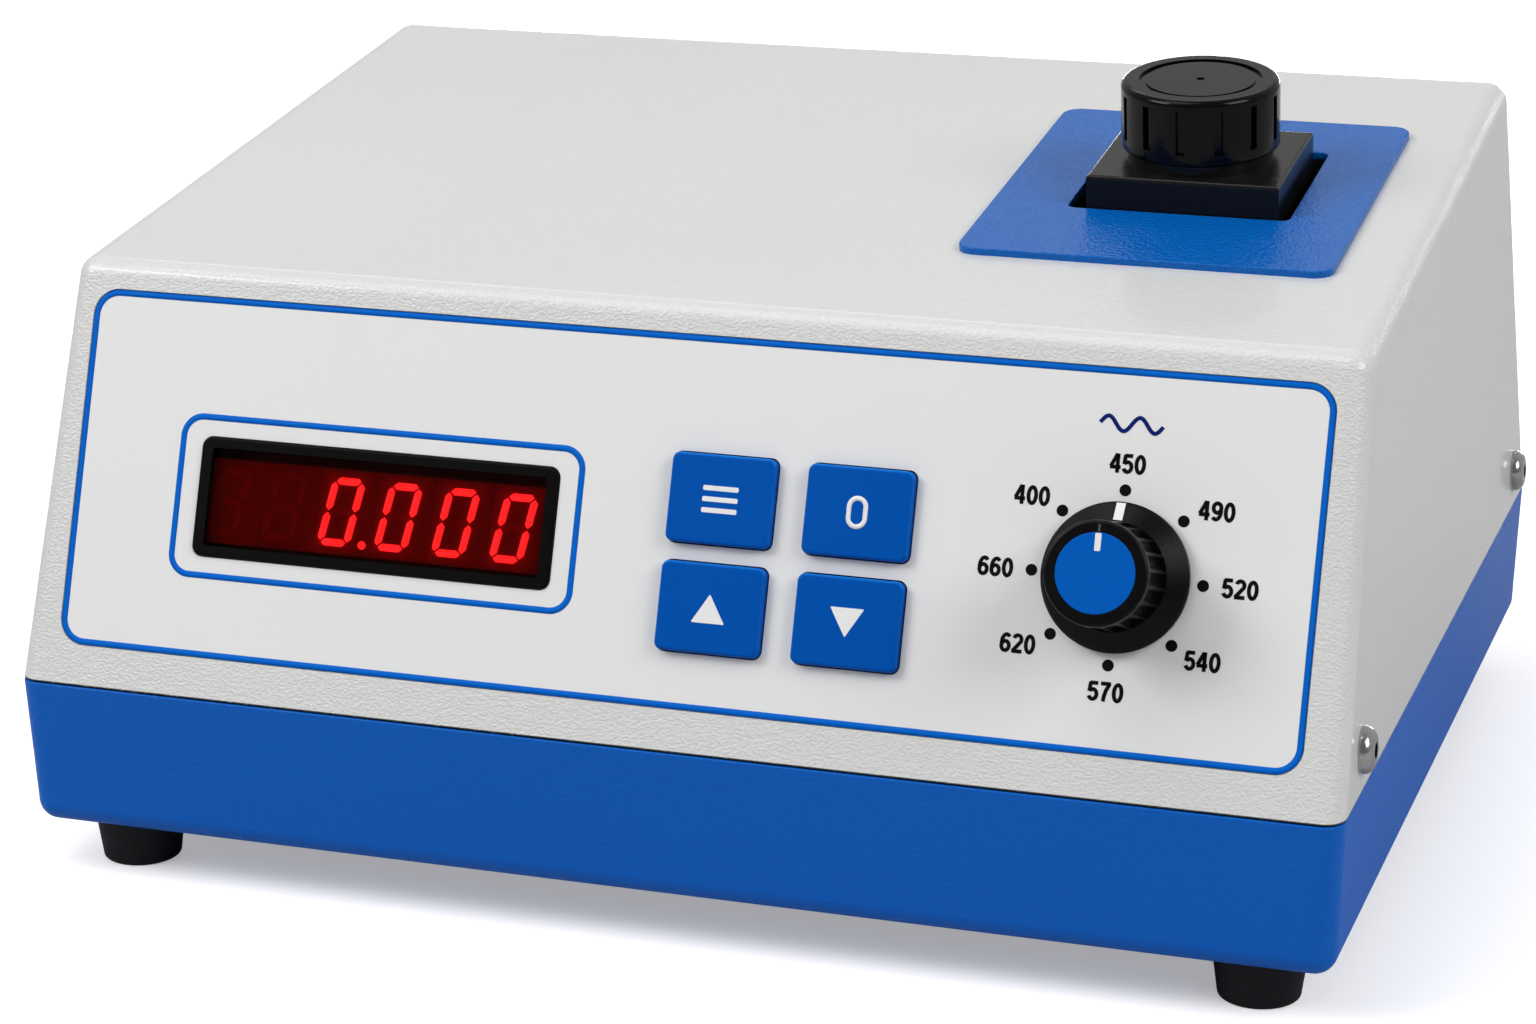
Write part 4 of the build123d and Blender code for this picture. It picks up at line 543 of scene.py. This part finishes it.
def unlitFinish(name, look, color):
    # Dark red plastic, with a painted glow of the lit digits on it, given off as emission near them
    plain = {"Emission Strength": look["haloStrength"], "Roughness": 0.5, "Specular IOR Level": 0.1}
    material, tree, shader, coords = newMaterial(name, plain)
    field = digitField(tree, coords, look)
    # Painted glow: the plastic near the lit digits gives off red light
    glow = mixed(tree, field["Halo"], (0.0, 0.0, 0.0, 1.0), (*look["halo"], 1.0))
    tree.links.new(glow, shader.inputs["Emission Color"])
    tone = toned(tree, coords, color, patch=0.01, drift=0.2, speck=0.1)
    tree.links.new(tone["Color"], shader.inputs["Base Color"])
    return material


makeDigitField(displayLook)
materials["segment_lit"] = segmentFinish("segment_lit", displayLook)
materials["segment_dark"] = unlitFinish("segment_dark", displayLook, displayLook["ghost"])
materials["digit_body"] = unlitFinish("digit_body", displayLook, displayLook["body"])

# Circuit boards, with green lacquer over the tracks
boardLook = {"green": (0.012, 0.16, 0.05), "track": (0.05, 0.3, 0.1), "pitch": 0.0025, "rise": 0.00003}


def boardFinish(name, look):
    material, tree, shader, coords = newMaterial(name, {"Roughness": 0.35, "Coat Weight": 0.3})
    green = (*look["green"], 1.0)
    tracks = addNode(tree, "ShaderNodeTexBrick", {
        "Vector": scaled(tree, coords, 1.0 / look["pitch"]), "Color1": green, "Color2": green,
        "Mortar": (*look["track"], 1.0), "Scale": 1.0, "Mortar Size": 0.08, "Brick Width": 1.7,
    })
    tone = toned(tree, coords, tracks.outputs["Color"], patch=0.02, drift=0.2, speck=0.05)
    tree.links.new(tone["Color"], shader.inputs["Base Color"])
    bumpBy(tree, shader, tracks.outputs[1], look["rise"])
    return material


# Flat cable, stacked sheets and wound tape, with the axis that crosses their bands
bandedLooks = {
    "ribbon": {
        "color": (0.42, 0.42, 0.43), "gap": (0.2, 0.2, 0.21), "axis": "X", "pitch": 0.00127, "rough": 0.4,
    },
    "core_steel": {
        "color": (0.11, 0.11, 0.125), "gap": (0.03, 0.03, 0.035), "axis": "Y", "pitch": 0.0005,
        "rough": 0.45, "metallic": 0.8,
    },
    "coil_tape": {
        "color": (0.62, 0.4, 0.05), "gap": (0.4, 0.24, 0.03), "axis": "Z", "pitch": 0.004, "rough": 0.35,
    },
}


def bandedFinish(name, look):
    # Rounded bands, painted darker towards the gaps between them as shade; a fullness under one widens their pale
    # part, and the rise is a share of the pitch
    fullness, rise = 0.6, 0.15
    plain = {"Roughness": look["rough"], "Metallic": look.get("metallic", 0.0)}
    material, tree, shader, coords = newMaterial(name, plain)
    turns = times(tree, xyzOf(tree, coords)[look["axis"]], pi / look["pitch"])
    wave = calc(tree, "ABSOLUTE", calc(tree, "SINE", turns))
    mottled = ranged(tree, noise(tree, coords, scale=500.0, detail=3.0), 0.2, 0.8, 0.7, 1.0)
    level = times(tree, calc(tree, "POWER", wave, fullness), mottled)
    # Painted shade: the colour falls to the gap colour in the hollows between bands
    color = mixed(tree, level, (*look["gap"], 1.0), (*look["color"], 1.0))
    tree.links.new(color, shader.inputs["Base Color"])
    bumpBy(tree, shader, wave, look["pitch"] * rise)
    return material


materials["board_green"] = boardFinish("board_green", boardLook)
for name, look in bandedLooks.items():
    materials[name] = bandedFinish(name, look)

for part in frame["record"]["subparts"]:
    piece = nodes[part["node"]]
    for holder in piece.material_slots:
        holder.material = materials[part["material_slot"]]
print("finishes on all nodes:", len(materials), "materials")


# Tools for printed marks
def cleanMesh(mesh):
    made = bmesh.new()
    made.from_mesh(mesh)
    bmesh.ops.remove_doubles(made, verts=made.verts, dist=1e-7)
    bmesh.ops.recalc_face_normals(made, faces=made.faces)
    made.to_mesh(mesh)
    made.free()


def addPiece(name, mesh, body, material, place=None):
    # Puts a mesh in its place and makes it ride with a body
    if place is not None:
        mesh.transform(place)
    cleanMesh(mesh)
    mesh.materials.clear()
    mesh.materials.append(materials[material])
    piece = bpy.data.objects.new(name, mesh)
    scene.collection.objects.link(piece)
    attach(piece, body)


def keptMesh(name, made):
    mesh = bpy.data.meshes.new(name)
    made.to_mesh(mesh)
    made.free()
    return mesh


def joined(name, meshes):
    made = bmesh.new()
    for mesh in meshes:
        made.from_mesh(mesh)
    return keptMesh(name, made)


def slab(name, outlines, low, high):
    # Closed plate for each outline, from one height to another
    made = bmesh.new()
    for outline in outlines:
        floor = [made.verts.new((x, y, low)) for x, y in outline]
        roof = [made.verts.new((x, y, high)) for x, y in outline]
        made.faces.new(list(reversed(floor)))
        made.faces.new(roof)
        for i in range(len(outline)):
            after = (i + 1) % len(outline)
            made.faces.new((floor[i], floor[after], roof[after], roof[i]))
    return keptMesh(name, made)


def roundedShape(corners, radius, steps=6):
    # Outline with each corner replaced by an arc, anticlockwise
    outline = []
    for i, corner in enumerate(corners):
        here = Vector(corner)
        before = (Vector(corners[i - 1]) - here).normalized()
        after = (Vector(corners[(i + 1) % len(corners)]) - here).normalized()
        half = before.angle(after) / 2
        centre = here + (before + after).normalized() * radius / sin(half)
        start = here + before * radius / tan(half) - centre
        finish = here + after * radius / tan(half) - centre
        sweep = start.angle_signed(finish)
        for step in range(steps + 1):
            turn = -sweep * step / steps
            outline.append((
                centre.x + start.x * cos(turn) - start.y * sin(turn),
                centre.y + start.x * sin(turn) + start.y * cos(turn),
            ))
    return outline


def boxShape(x, y, width, height):
    return [
        (x - width / 2, y - height / 2), (x + width / 2, y - height / 2),
        (x + width / 2, y + height / 2), (x - width / 2, y + height / 2),
    ]


def newShapeTree(name, inputs):
    # Geometry Nodes tree with named inputs and a material
    tree = bpy.data.node_groups.new(name, "GeometryNodeTree")
    tree.interface.new_socket("Geometry", in_out="OUTPUT", socket_type="NodeSocketGeometry")
    for label, value in inputs.items():
        kind = "NodeSocketInt" if isinstance(value, int) else "NodeSocketFloat"
        tree.interface.new_socket(label, in_out="INPUT", socket_type=kind).default_value = value
    tree.interface.new_socket("Material", in_out="INPUT", socket_type="NodeSocketMaterial")
    return tree, tree.nodes.new("NodeGroupInput").outputs


def closeShapeTree(tree, given, geometry):
    real = addNode(tree, "GeometryNodeRealizeInstances", {0: geometry})
    dressed = addNode(tree, "GeometryNodeSetMaterial", {
        "Geometry": real.outputs[0], "Material": given["Material"],
    })
    addNode(tree, "NodeGroupOutput", {0: dressed.outputs[0]})


def makeFrameTree():
    # Line that follows a rectangle with rounded corners
    tree, given = newShapeTree("roundedFrame", {
        "Width": 0.1, "Height": 0.05, "Corner Radius": 0.005, "Line Width": 0.001, "Thickness": 0.0001,
    })
    path = addNode(tree, "GeometryNodeCurvePrimitiveQuadrilateral", {
        "Width": given["Width"], "Height": given["Height"],
    })
    bent = addNode(tree, "GeometryNodeFilletCurve", {
        "Curve": path.outputs[0], "Count": 14, "Radius": given["Corner Radius"],
    }, mode="POLY")
    profile = addNode(tree, "GeometryNodeCurvePrimitiveQuadrilateral", {
        "Width": given["Line Width"], "Height": given["Thickness"],
    })
    line = addNode(tree, "GeometryNodeCurveToMesh", {0: bent.outputs[0], 1: profile.outputs[0]})
    closeShapeTree(tree, given, line.outputs[0])


def makeDotTree():
    # Round dots at even steps round a circle
    tree, given = newShapeTree("dotRing", {
        "Dot Count": 8, "Ring Radius": 0.017, "Dot Radius": 0.001, "Thickness": 0.0001,
    })
    ring = addNode(tree, "GeometryNodeMeshCircle", {
        "Vertices": given["Dot Count"], "Radius": given["Ring Radius"],
    })
    dot = addNode(tree, "GeometryNodeMeshCylinder", {
        "Vertices": 40, "Radius": given["Dot Radius"], "Depth": given["Thickness"],
    })
    dots = addNode(tree, "GeometryNodeInstanceOnPoints", {
        "Points": ring.outputs[0], "Instance": dot.outputs["Mesh"],
    })
    closeShapeTree(tree, given, dots.outputs[0])


makeFrameTree()
makeDotTree()


def shapeFrom(treeName, values, material):
    # Runs a tree on an empty mesh and keeps the result as a plain mesh
    tree = bpy.data.node_groups[treeName]
    carrier = bpy.data.objects.new(treeName, bpy.data.meshes.new(treeName))
    scene.collection.objects.link(carrier)
    modifier = carrier.modifiers.new(treeName, "NODES")
    modifier.node_group = tree
    values = {**values, "Material": materials[material]}
    for socket in tree.interface.items_tree:
        if socket.in_out == "INPUT" and socket.name in values:
            modifier[socket.identifier] = values[socket.name]
    bpy.context.view_layer.update()
    mesh = bpy.data.meshes.new_from_object(carrier.evaluated_get(bpy.context.evaluated_depsgraph_get()))
    bpy.data.objects.remove(carrier)
    return mesh


def frameLine(middle, size, corner, line, level, thick, ink):
    # Flat line along a rectangle with rounded corners, standing on a level
    mesh = shapeFrom("roundedFrame", {
        "Width": size[0], "Height": size[1], "Corner Radius": corner, "Line Width": line, "Thickness": thick,
    }, ink)
    mesh.transform(Matrix.Translation((middle[0], middle[1], level + thick / 2)))
    return mesh


# Printed marks on the film; a border's gap lies between its middle line and the piece inside
filmPrint = {
    "height": 0.00005,
    "border": {"gap": (-0.00065, -0.00065), "corner": 0.00485, "line": 0.0013},
    "displayBorder": {"gap": (0.0046, 0.0040), "corner": 0.0042, "line": 0.0013},
    "dotRing": 0.0169,
    "dotRadius": 0.00115,
    "numberHeight": 0.00374,
    "numberUp": 0.0220,
    "numberAcross": 0.0241,
    "numberCorner": (0.0182, 0.0144),
    "numberLine": 0.00076,
    "numberStep": 0.00242,
    "waveLength": 0.0062,
    "waveHeight": 0.0028,
    "waveLine": 0.0008,
    "wavePlace": (0.0, 0.0296),
    "waveSteps": 48,
}
numbers = ["450", "490", "520", "540", "570", "620", "660", "400"]
inkHeight = filmPrint["height"]
inkTop = filmFace + inkHeight


def printBorder(name, look, low, high):
    gapAcross, gapUp = look["gap"]
    size = (high.x - low.x + 2 * gapAcross, high.y - low.y + 2 * gapUp)
    mesh = frameLine((low + high) / 2, size, look["corner"], look["line"], filmFace, inkHeight, "inkBlue")
    addPiece(name, mesh, "case", "inkBlue", panelPlace)


def printDots():
    mesh = shapeFrom("dotRing", {
        "Dot Count": len(numbers), "Ring Radius": filmPrint["dotRing"], "Dot Radius": filmPrint["dotRadius"],
        "Thickness": inkHeight,
    }, "inkBlack")
    mesh.transform(Matrix.Translation((0.0, 0.0, filmFace + inkHeight / 2)))
    addPiece("dial_dots", mesh, "case", "inkBlack", panelPlace)


def arc(x, y, wide, high, start, finish, steps=20):
    # Points on part of an ellipse, in degrees from its right end
    points = []
    for step in range(steps + 1):
        angle = radians(start + (finish - start) * step / steps)
        points.append((x + wide * cos(angle), y + high * sin(angle)))
    return points


# Middle lines of the digits, one unit high; the first value tells whether the line closes on itself
digitWide = 0.57
sixLines = [
    (True, arc(0.285, 0.325, 0.2, 0.242, 0, 342, 24)),
    (False, arc(0.33, 0.47, 0.245, 0.445, 190, 62) + [(0.485, 0.80)]),
]
digitLines = {
    "0": [(True, arc(0.285, 0.5, 0.2, 0.417, 0, 350, 35))],
    "2": [
        (False, arc(0.28, 0.70, 0.2, 0.217, 165, -32) + [(0.09, 0.14), (0.05, 0.083)]),
        (False, [(0.0, 0.083), (0.54, 0.083)]),
    ],
    "4": [
        (False, [(0.395, 0.0), (0.395, 1.0)]),
        (False, [(0.36, 0.98), (0.045, 0.33)]),
        (False, [(0.0, 0.30), (0.56, 0.30)]),
    ],
    "5": [
        (False, [(0.10, 0.917), (0.52, 0.917)]),
        (False, [(0.135, 0.95), (0.09, 0.47)]),
        (False, arc(0.275, 0.335, 0.207, 0.252, 148, -160, 26)),
    ],
    "6": sixLines,
    "7": [
        (False, [(0.02, 0.917), (0.54, 0.917)]),
        (False, [(0.485, 0.93), (0.31, 0.58), (0.235, 0.3), (0.2, 0.0)]),
    ],
    "9": [(closed, [(digitWide - x, 1.0 - y) for x, y in points]) for closed, points in sixLines],
}


def ribbon(name, points, width, closed, low, high):
    # Closed strip of even width along a flat line; a sharp turn makes it twice as wide at most
    made = bmesh.new()
    rows = []
    count = len(points)
    for i, point in enumerate(points):
        here = Vector(point)
        before = Vector(points[i - 1]) if closed or i > 0 else None
        after = Vector(points[(i + 1) % count]) if closed or i < count - 1 else None
        first = (here - before).normalized() if before is not None else (after - here).normalized()
        second = (after - here).normalized() if after is not None else first
        along = (first + second).normalized()
        side = Vector((-along.y, along.x)) * width / 2 / max(along.dot(first), 0.5)
        rows.append([made.verts.new((*(here + side * sign), level)) for sign, level in (
            (1, low), (-1, low), (-1, high), (1, high)
        )])
    pairs = list(zip(rows, rows[1:]))
    if closed:
        pairs.append((rows[-1], rows[0]))
    else:
        made.faces.new(rows[0])
        made.faces.new(list(reversed(rows[-1])))
    for one, two in pairs:
        for i in range(4):
            j = (i + 1) % 4
            made.faces.new((one[i], two[i], two[j], one[j]))
    return keptMesh(name, made)


def printNumbers():
    meshes = []
    tall = filmPrint["numberHeight"]
    cornerAcross, cornerUp = filmPrint["numberCorner"]
    for index, words in enumerate(numbers):
        turn = radians(index * 360 / len(numbers))
        if index % 2:
            x, y = copysign(cornerAcross, sin(turn)), copysign(cornerUp, cos(turn))
        else:
            x, y = filmPrint["numberAcross"] * sin(turn), filmPrint["numberUp"] * cos(turn)
        for place, digit in enumerate(words):
            left = x + (place - 1) * filmPrint["numberStep"] - digitWide / 2 * tall
            for closed, points in digitLines[digit]:
                line = [(left + a * tall, y + (b - 0.5) * tall) for a, b in points]
                meshes.append(ribbon("digit", line, filmPrint["numberLine"], closed, filmFace, inkTop))
    addPiece("dial_numbers", joined("dial_numbers", meshes), "case", "inkBlack", panelPlace)


def printWave():
    # Sign for light of a wavelength, over the dial
    x, y = filmPrint["wavePlace"]
    points = []
    for step in range(filmPrint["waveSteps"] + 1):
        share = step / filmPrint["waveSteps"]
        along = x + filmPrint["waveLength"] * (2 * share - 1)
        points.append((along, y + filmPrint["waveHeight"] / 2 * sin(4 * pi * share)))
    mesh = ribbon("dial_wave", points, filmPrint["waveLine"], False, filmFace, inkTop)
    addPiece("dial_wave", mesh, "case", "inkNavy", panelPlace)


printBorder("film_border", filmPrint["border"], filmLow, filmHigh)
printBorder("display_border", filmPrint["displayBorder"], *measure("display_bezel", panelPlace, filmFace))
printDots()
printNumbers()
printWave()
print("film printed")

# White marks on the keys
keyMarks = {
    "height": 0.00006,
    "barWidth": 0.0074,
    "barHeight": 0.0010,
    "barPitch": 0.0022,
    "barRound": 0.0003,
    "zeroSize": (0.0034, 0.0056),
    "zeroLine": 0.00095,
    "arrowWidth": 0.0070,
    "arrowHeight": 0.0058,
    "arrowRound": 0.00015,
}


def keyPlace(node):
    # Middle of a key's face
    low, high = measure(node, panelPlace, filmFace)
    return panelPlace @ Matrix.Translation(((low.x + high.x) / 2, (low.y + high.y) / 2, high.z))


def markKeys():
    thick = keyMarks["height"]
    bars = []
    for step in (-1, 0, 1):
        bar = boxShape(0.0, step * keyMarks["barPitch"], keyMarks["barWidth"], keyMarks["barHeight"])
        bars.append(roundedShape(bar, keyMarks["barRound"]))
    zero = keyMarks["zeroSize"]
    half, rise = keyMarks["arrowWidth"] / 2, keyMarks["arrowHeight"] / 2
    upward = [(-half, -rise), (half, -rise), (0.0, rise)]
    downward = [(-half, rise), (0.0, -rise), (half, rise)]
    marks = {
        "key_mode": slab("bars", bars, 0.0, thick),
        "key_zero": frameLine((0.0, 0.0), zero, zero[0] / 2, keyMarks["zeroLine"], 0.0, thick, "inkWhite"),
        "key_up": slab("arrow", [roundedShape(upward, keyMarks["arrowRound"])], 0.0, thick),
        "key_down": slab("arrow", [roundedShape(downward, keyMarks["arrowRound"])], 0.0, thick),
    }
    for node, mesh in marks.items():
        addPiece(node + "_mark", mesh, node + "_body", "inkWhite", keyPlace(node))


markKeys()
print("keys marked")

# White pointer on the knob's skirt and line on its insert
knobMarks = {
    "height": 0.00005,
    "pointerWidth": 0.0018,
    "pointerFrom": 0.0109,
    "pointerTo": 0.0143,
    "lineWidth": 0.0012,
    "lineFrom": 0.0042,
    "lineTo": 0.0076,
    "lineRound": 0.00025,
    "notchWidth": 0.0005,
    "notchFrom": 0.0079,
    "notchTo": 0.0093,
}
castHeight = 0.1  # start of a line that looks for a surface, over the place


def castDown(node, place):
    # Finds the surface of a node straight below a point of a place, with the outward direction there
    mesh = nodes[node].data
    corners = [vertex.co for vertex in mesh.vertices]
    tree = BVHTree.FromPolygons(corners, [tuple(face.vertices) for face in mesh.polygons])
    inward = -(place.to_3x3() @ Vector((0, 0, 1)))

    def hit(x, y):
        spot, normal = tree.ray_cast(place @ Vector((x, y, castHeight)), inward)[:2]
        return spot, normal if normal.dot(inward) < 0 else -normal

    return hit


def strip(name, hit, width, start, finish, thickness, rows=10, columns=6):
    # Thin closed strip on a curved surface, sunk into it by a quarter of its thickness
    made = bmesh.new()
    layers = []
    for lift in (-thickness / 4, thickness):
        grid = []
        for row in range(rows + 1):
            y = start + (finish - start) * row / rows
            line = []
            for column in range(columns + 1):
                spot, normal = hit(width * (column / columns - 0.5), y)
                line.append(made.verts.new(spot + normal * lift))
            grid.append(line)
        layers.append(grid)
    under, over = layers
    for row in range(rows):
        for column in range(columns):
            corners = [(row, column), (row, column + 1), (row + 1, column + 1), (row + 1, column)]
            made.faces.new([over[i][j] for i, j in corners])
            made.faces.new([under[i][j] for i, j in reversed(corners)])
    rim = [(0, j) for j in range(columns)] + [(i, columns) for i in range(rows)]
    rim += [(rows, j) for j in range(columns, 0, -1)] + [(i, 0) for i in range(rows, 0, -1)]
    for (i, j), (k, m) in zip(rim, rim[1:] + rim[:1]):
        made.faces.new((under[i][j], under[k][m], over[k][m], over[i][j]))
    return keptMesh(name, made)


def markKnob():
    thick = knobMarks["height"]
    hit = castDown("knob", panelPlace)
    for name, mark, ink in (("skirt_pointer", "pointer", "inkWhite"), ("knob_notch", "notch", "inkGrey")):
        width, start, finish = [knobMarks[mark + end] for end in ("Width", "From", "To")]
        addPiece(name, strip(name, hit, width, start, finish, thick), "selector", ink)
    top = measure("knob_insert", panelPlace)[1].z
    start, finish = knobMarks["lineFrom"], knobMarks["lineTo"]
    line = boxShape(0.0, (start + finish) / 2, knobMarks["lineWidth"], finish - start)
    mesh = slab("insert_line", [roundedShape(line, knobMarks["lineRound"])], top, top + thick)
    addPiece("insert_line", mesh, "selector", "inkWhite", panelPlace)


markKnob()
print("knob marked")

# Black foam pad on the rear wall, so that no light goes through the vents; middle lies between two of them
ventPad = {
    "across": 0.104,
    "up": 0.042,
    "corner": 0.004,
    "thickness": 0.002,
    "gap": 0.0002,
    "middle": (0.0045, 0.0998, 0.1020),
    "outward": (0.0, 0.9516, 0.3074),
}


def fitVentPad():
    outward = Vector(ventPad["outward"]).normalized()
    spot = castDown("upper_shell", placeAt(ventPad["middle"], -outward))(0.0, 0.0)[0]
    shape = roundedShape(boxShape(0.0, 0.0, ventPad["across"], ventPad["up"]), ventPad["corner"])
    mesh = slab("vent_pad", [shape], -ventPad["gap"] - ventPad["thickness"], -ventPad["gap"])
    addPiece("vent_pad", mesh, "case", "foamBlack", placeAt((0.0, spot.y, spot.z), outward))


fitVentPad()
print("vent pad fitted")

# I and O on the power rocker, seen from behind
rockerMarks = {"height": 0.00006, "barLength": 0.0034, "line": 0.0007, "ring": 0.0032, "away": 0.0048}


def markRocker():
    low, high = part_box("power_rocker")
    thick, line, ring = rockerMarks["height"], rockerMarks["line"], rockerMarks["ring"]
    leftward = (-1, 0, 0)
    rear = placeAt(((low.x + high.x) / 2, high.y, (low.z + high.z) / 2), (0, 1, 0), leftward)
    hit = castDown("power_rocker", rear)
    circle = frameLine((0.0, 0.0), (ring, ring), ring / 2, line, 0.0, thick, "inkWhite")
    bar = slab("rocker_bar", [boxShape(0.0, 0.0, line, rockerMarks["barLength"])], 0.0, thick)
    for mark, away in ((circle, -rockerMarks["away"]), (bar, rockerMarks["away"])):
        spot, normal = hit(0.0, away)
        mark.transform(placeAt(spot, normal, leftward))
    mesh = joined("rocker_marks", [circle, bar])
    addPiece("rocker_marks", mesh, "rocker", "inkWhite")


markRocker()
print("rocker marked")

# Pale floor, white surroundings and soft studio lights
studio = {
    "floor": (0.97, 0.965, 0.96),
    "floorBounce": (0.5, 0.5, 0.51),
    "floorGlow": 0.36,
    "glowFrom": 0.5,
    "glowTo": 2.5,
    "floorSize": 14.0,
    "aroundFront": 0.22,
    "aroundBack": 0.54,
    "aroundSpan": 0.6,
    "exposure": 0.0,
    "keyPower": 32.0,
    "fillPower": 17.8,
    "backPower": 3.0,
    "topPower": 7.0,
    "rearPower": 12.0,
    "keyPlace": (-1.7, -1.35, 1.7),
    "fillPlace": (1.6, -0.6, 1.3),
    "backPlace": (-0.63, 1.86, 1.81),
    "topPlace": (-0.45, -0.55, 1.75),
    "rearPlace": (-0.2, 2.2, 0.2),
    "keySize": (1.2, 1.0),
    "fillSize": (1.0, 1.0),
    "backSize": (1.6, 0.3),
    "topSize": (1.0, 1.0),
    "rearSize": (1.6, 0.24),
}


def makeFloor():
    # Pale paper, which glows to the camera and gives the object a greyer bounce
    size = studio["floorSize"]
    mesh = bpy.data.meshes.new("floor")
    mesh.from_pydata([(x, y, 0.0) for x, y in boxShape(0.0, 0.0, size, size)], [], [(0, 1, 2, 3)])
    floor = bpy.data.objects.new("floor", mesh)
    scene.collection.objects.link(floor)
    plain = {"Roughness": 0.6, "Specular IOR Level": 0.1, "Emission Color": (*studio["floor"], 1.0)}
    material, tree, shader, coords = newMaterial("floorPaper", plain)
    tone = toned(tree, coords, studio["floor"], patch=0.6, drift=0.01, speck=0.0)
    seen = addNode(tree, "ShaderNodeLightPath").outputs["Is Camera Ray"]
    color = mixed(tree, seen, (*studio["floorBounce"], 1.0), tone["Color"])
    tree.links.new(color, shader.inputs["Base Color"])
    away = addNode(tree, "ShaderNodeVectorMath", {0: coords}, operation="LENGTH").outputs["Value"]
    glow = ranged(tree, away, studio["glowFrom"], studio["glowTo"], studio["floorGlow"], 1.0, "SMOOTHSTEP")
    tree.links.new(times(tree, seen, glow), shader.inputs["Emission Strength"])
    mesh.materials.append(material)


def makeLights():
    middle = (cadBox[0] + cadBox[1]) / 2
    for name in ("key", "fill", "back", "top", "rear"):
        light = bpy.data.lights.new(name + "Light", "AREA")
        light.shape = "RECTANGLE"
        light.size, light.size_y = studio[name + "Size"]
        light.energy = studio[name + "Power"]
        holder = bpy.data.objects.new(name + "Light", light)
        holder.location = studio[name + "Place"]
        holder.rotation_euler = (middle - holder.location).to_track_quat("-Z", "Y").to_euler()
        scene.collection.objects.link(holder)


def makeSurroundings():
    # White to the camera, dimmer to the object and dimmest in front, so that black pieces stay black
    world = bpy.data.worlds.new("studio")
    scene.world = world
    world.use_nodes = True
    tree = world.node_tree
    tree.nodes.clear()
    seen = addNode(tree, "ShaderNodeLightPath").outputs["Is Camera Ray"]
    direction = xyzOf(tree, addNode(tree, "ShaderNodeTexCoord").outputs["Generated"])
    span = studio["aroundSpan"]
    level = ranged(tree, direction["Y"], -span, span, studio["aroundFront"], studio["aroundBack"])
    strength = ranged(tree, seen, 0.0, 1.0, level, 1.0)
    background = addNode(tree, "ShaderNodeBackground", {0: (1.0, 1.0, 1.0, 1.0), 1: strength})
    addNode(tree, "ShaderNodeOutputWorld", {0: background.outputs[0]})


makeFloor()
makeLights()
makeSurroundings()
scene.view_settings.view_transform = "Standard"
scene.view_settings.exposure = studio["exposure"]
print("studio lit")
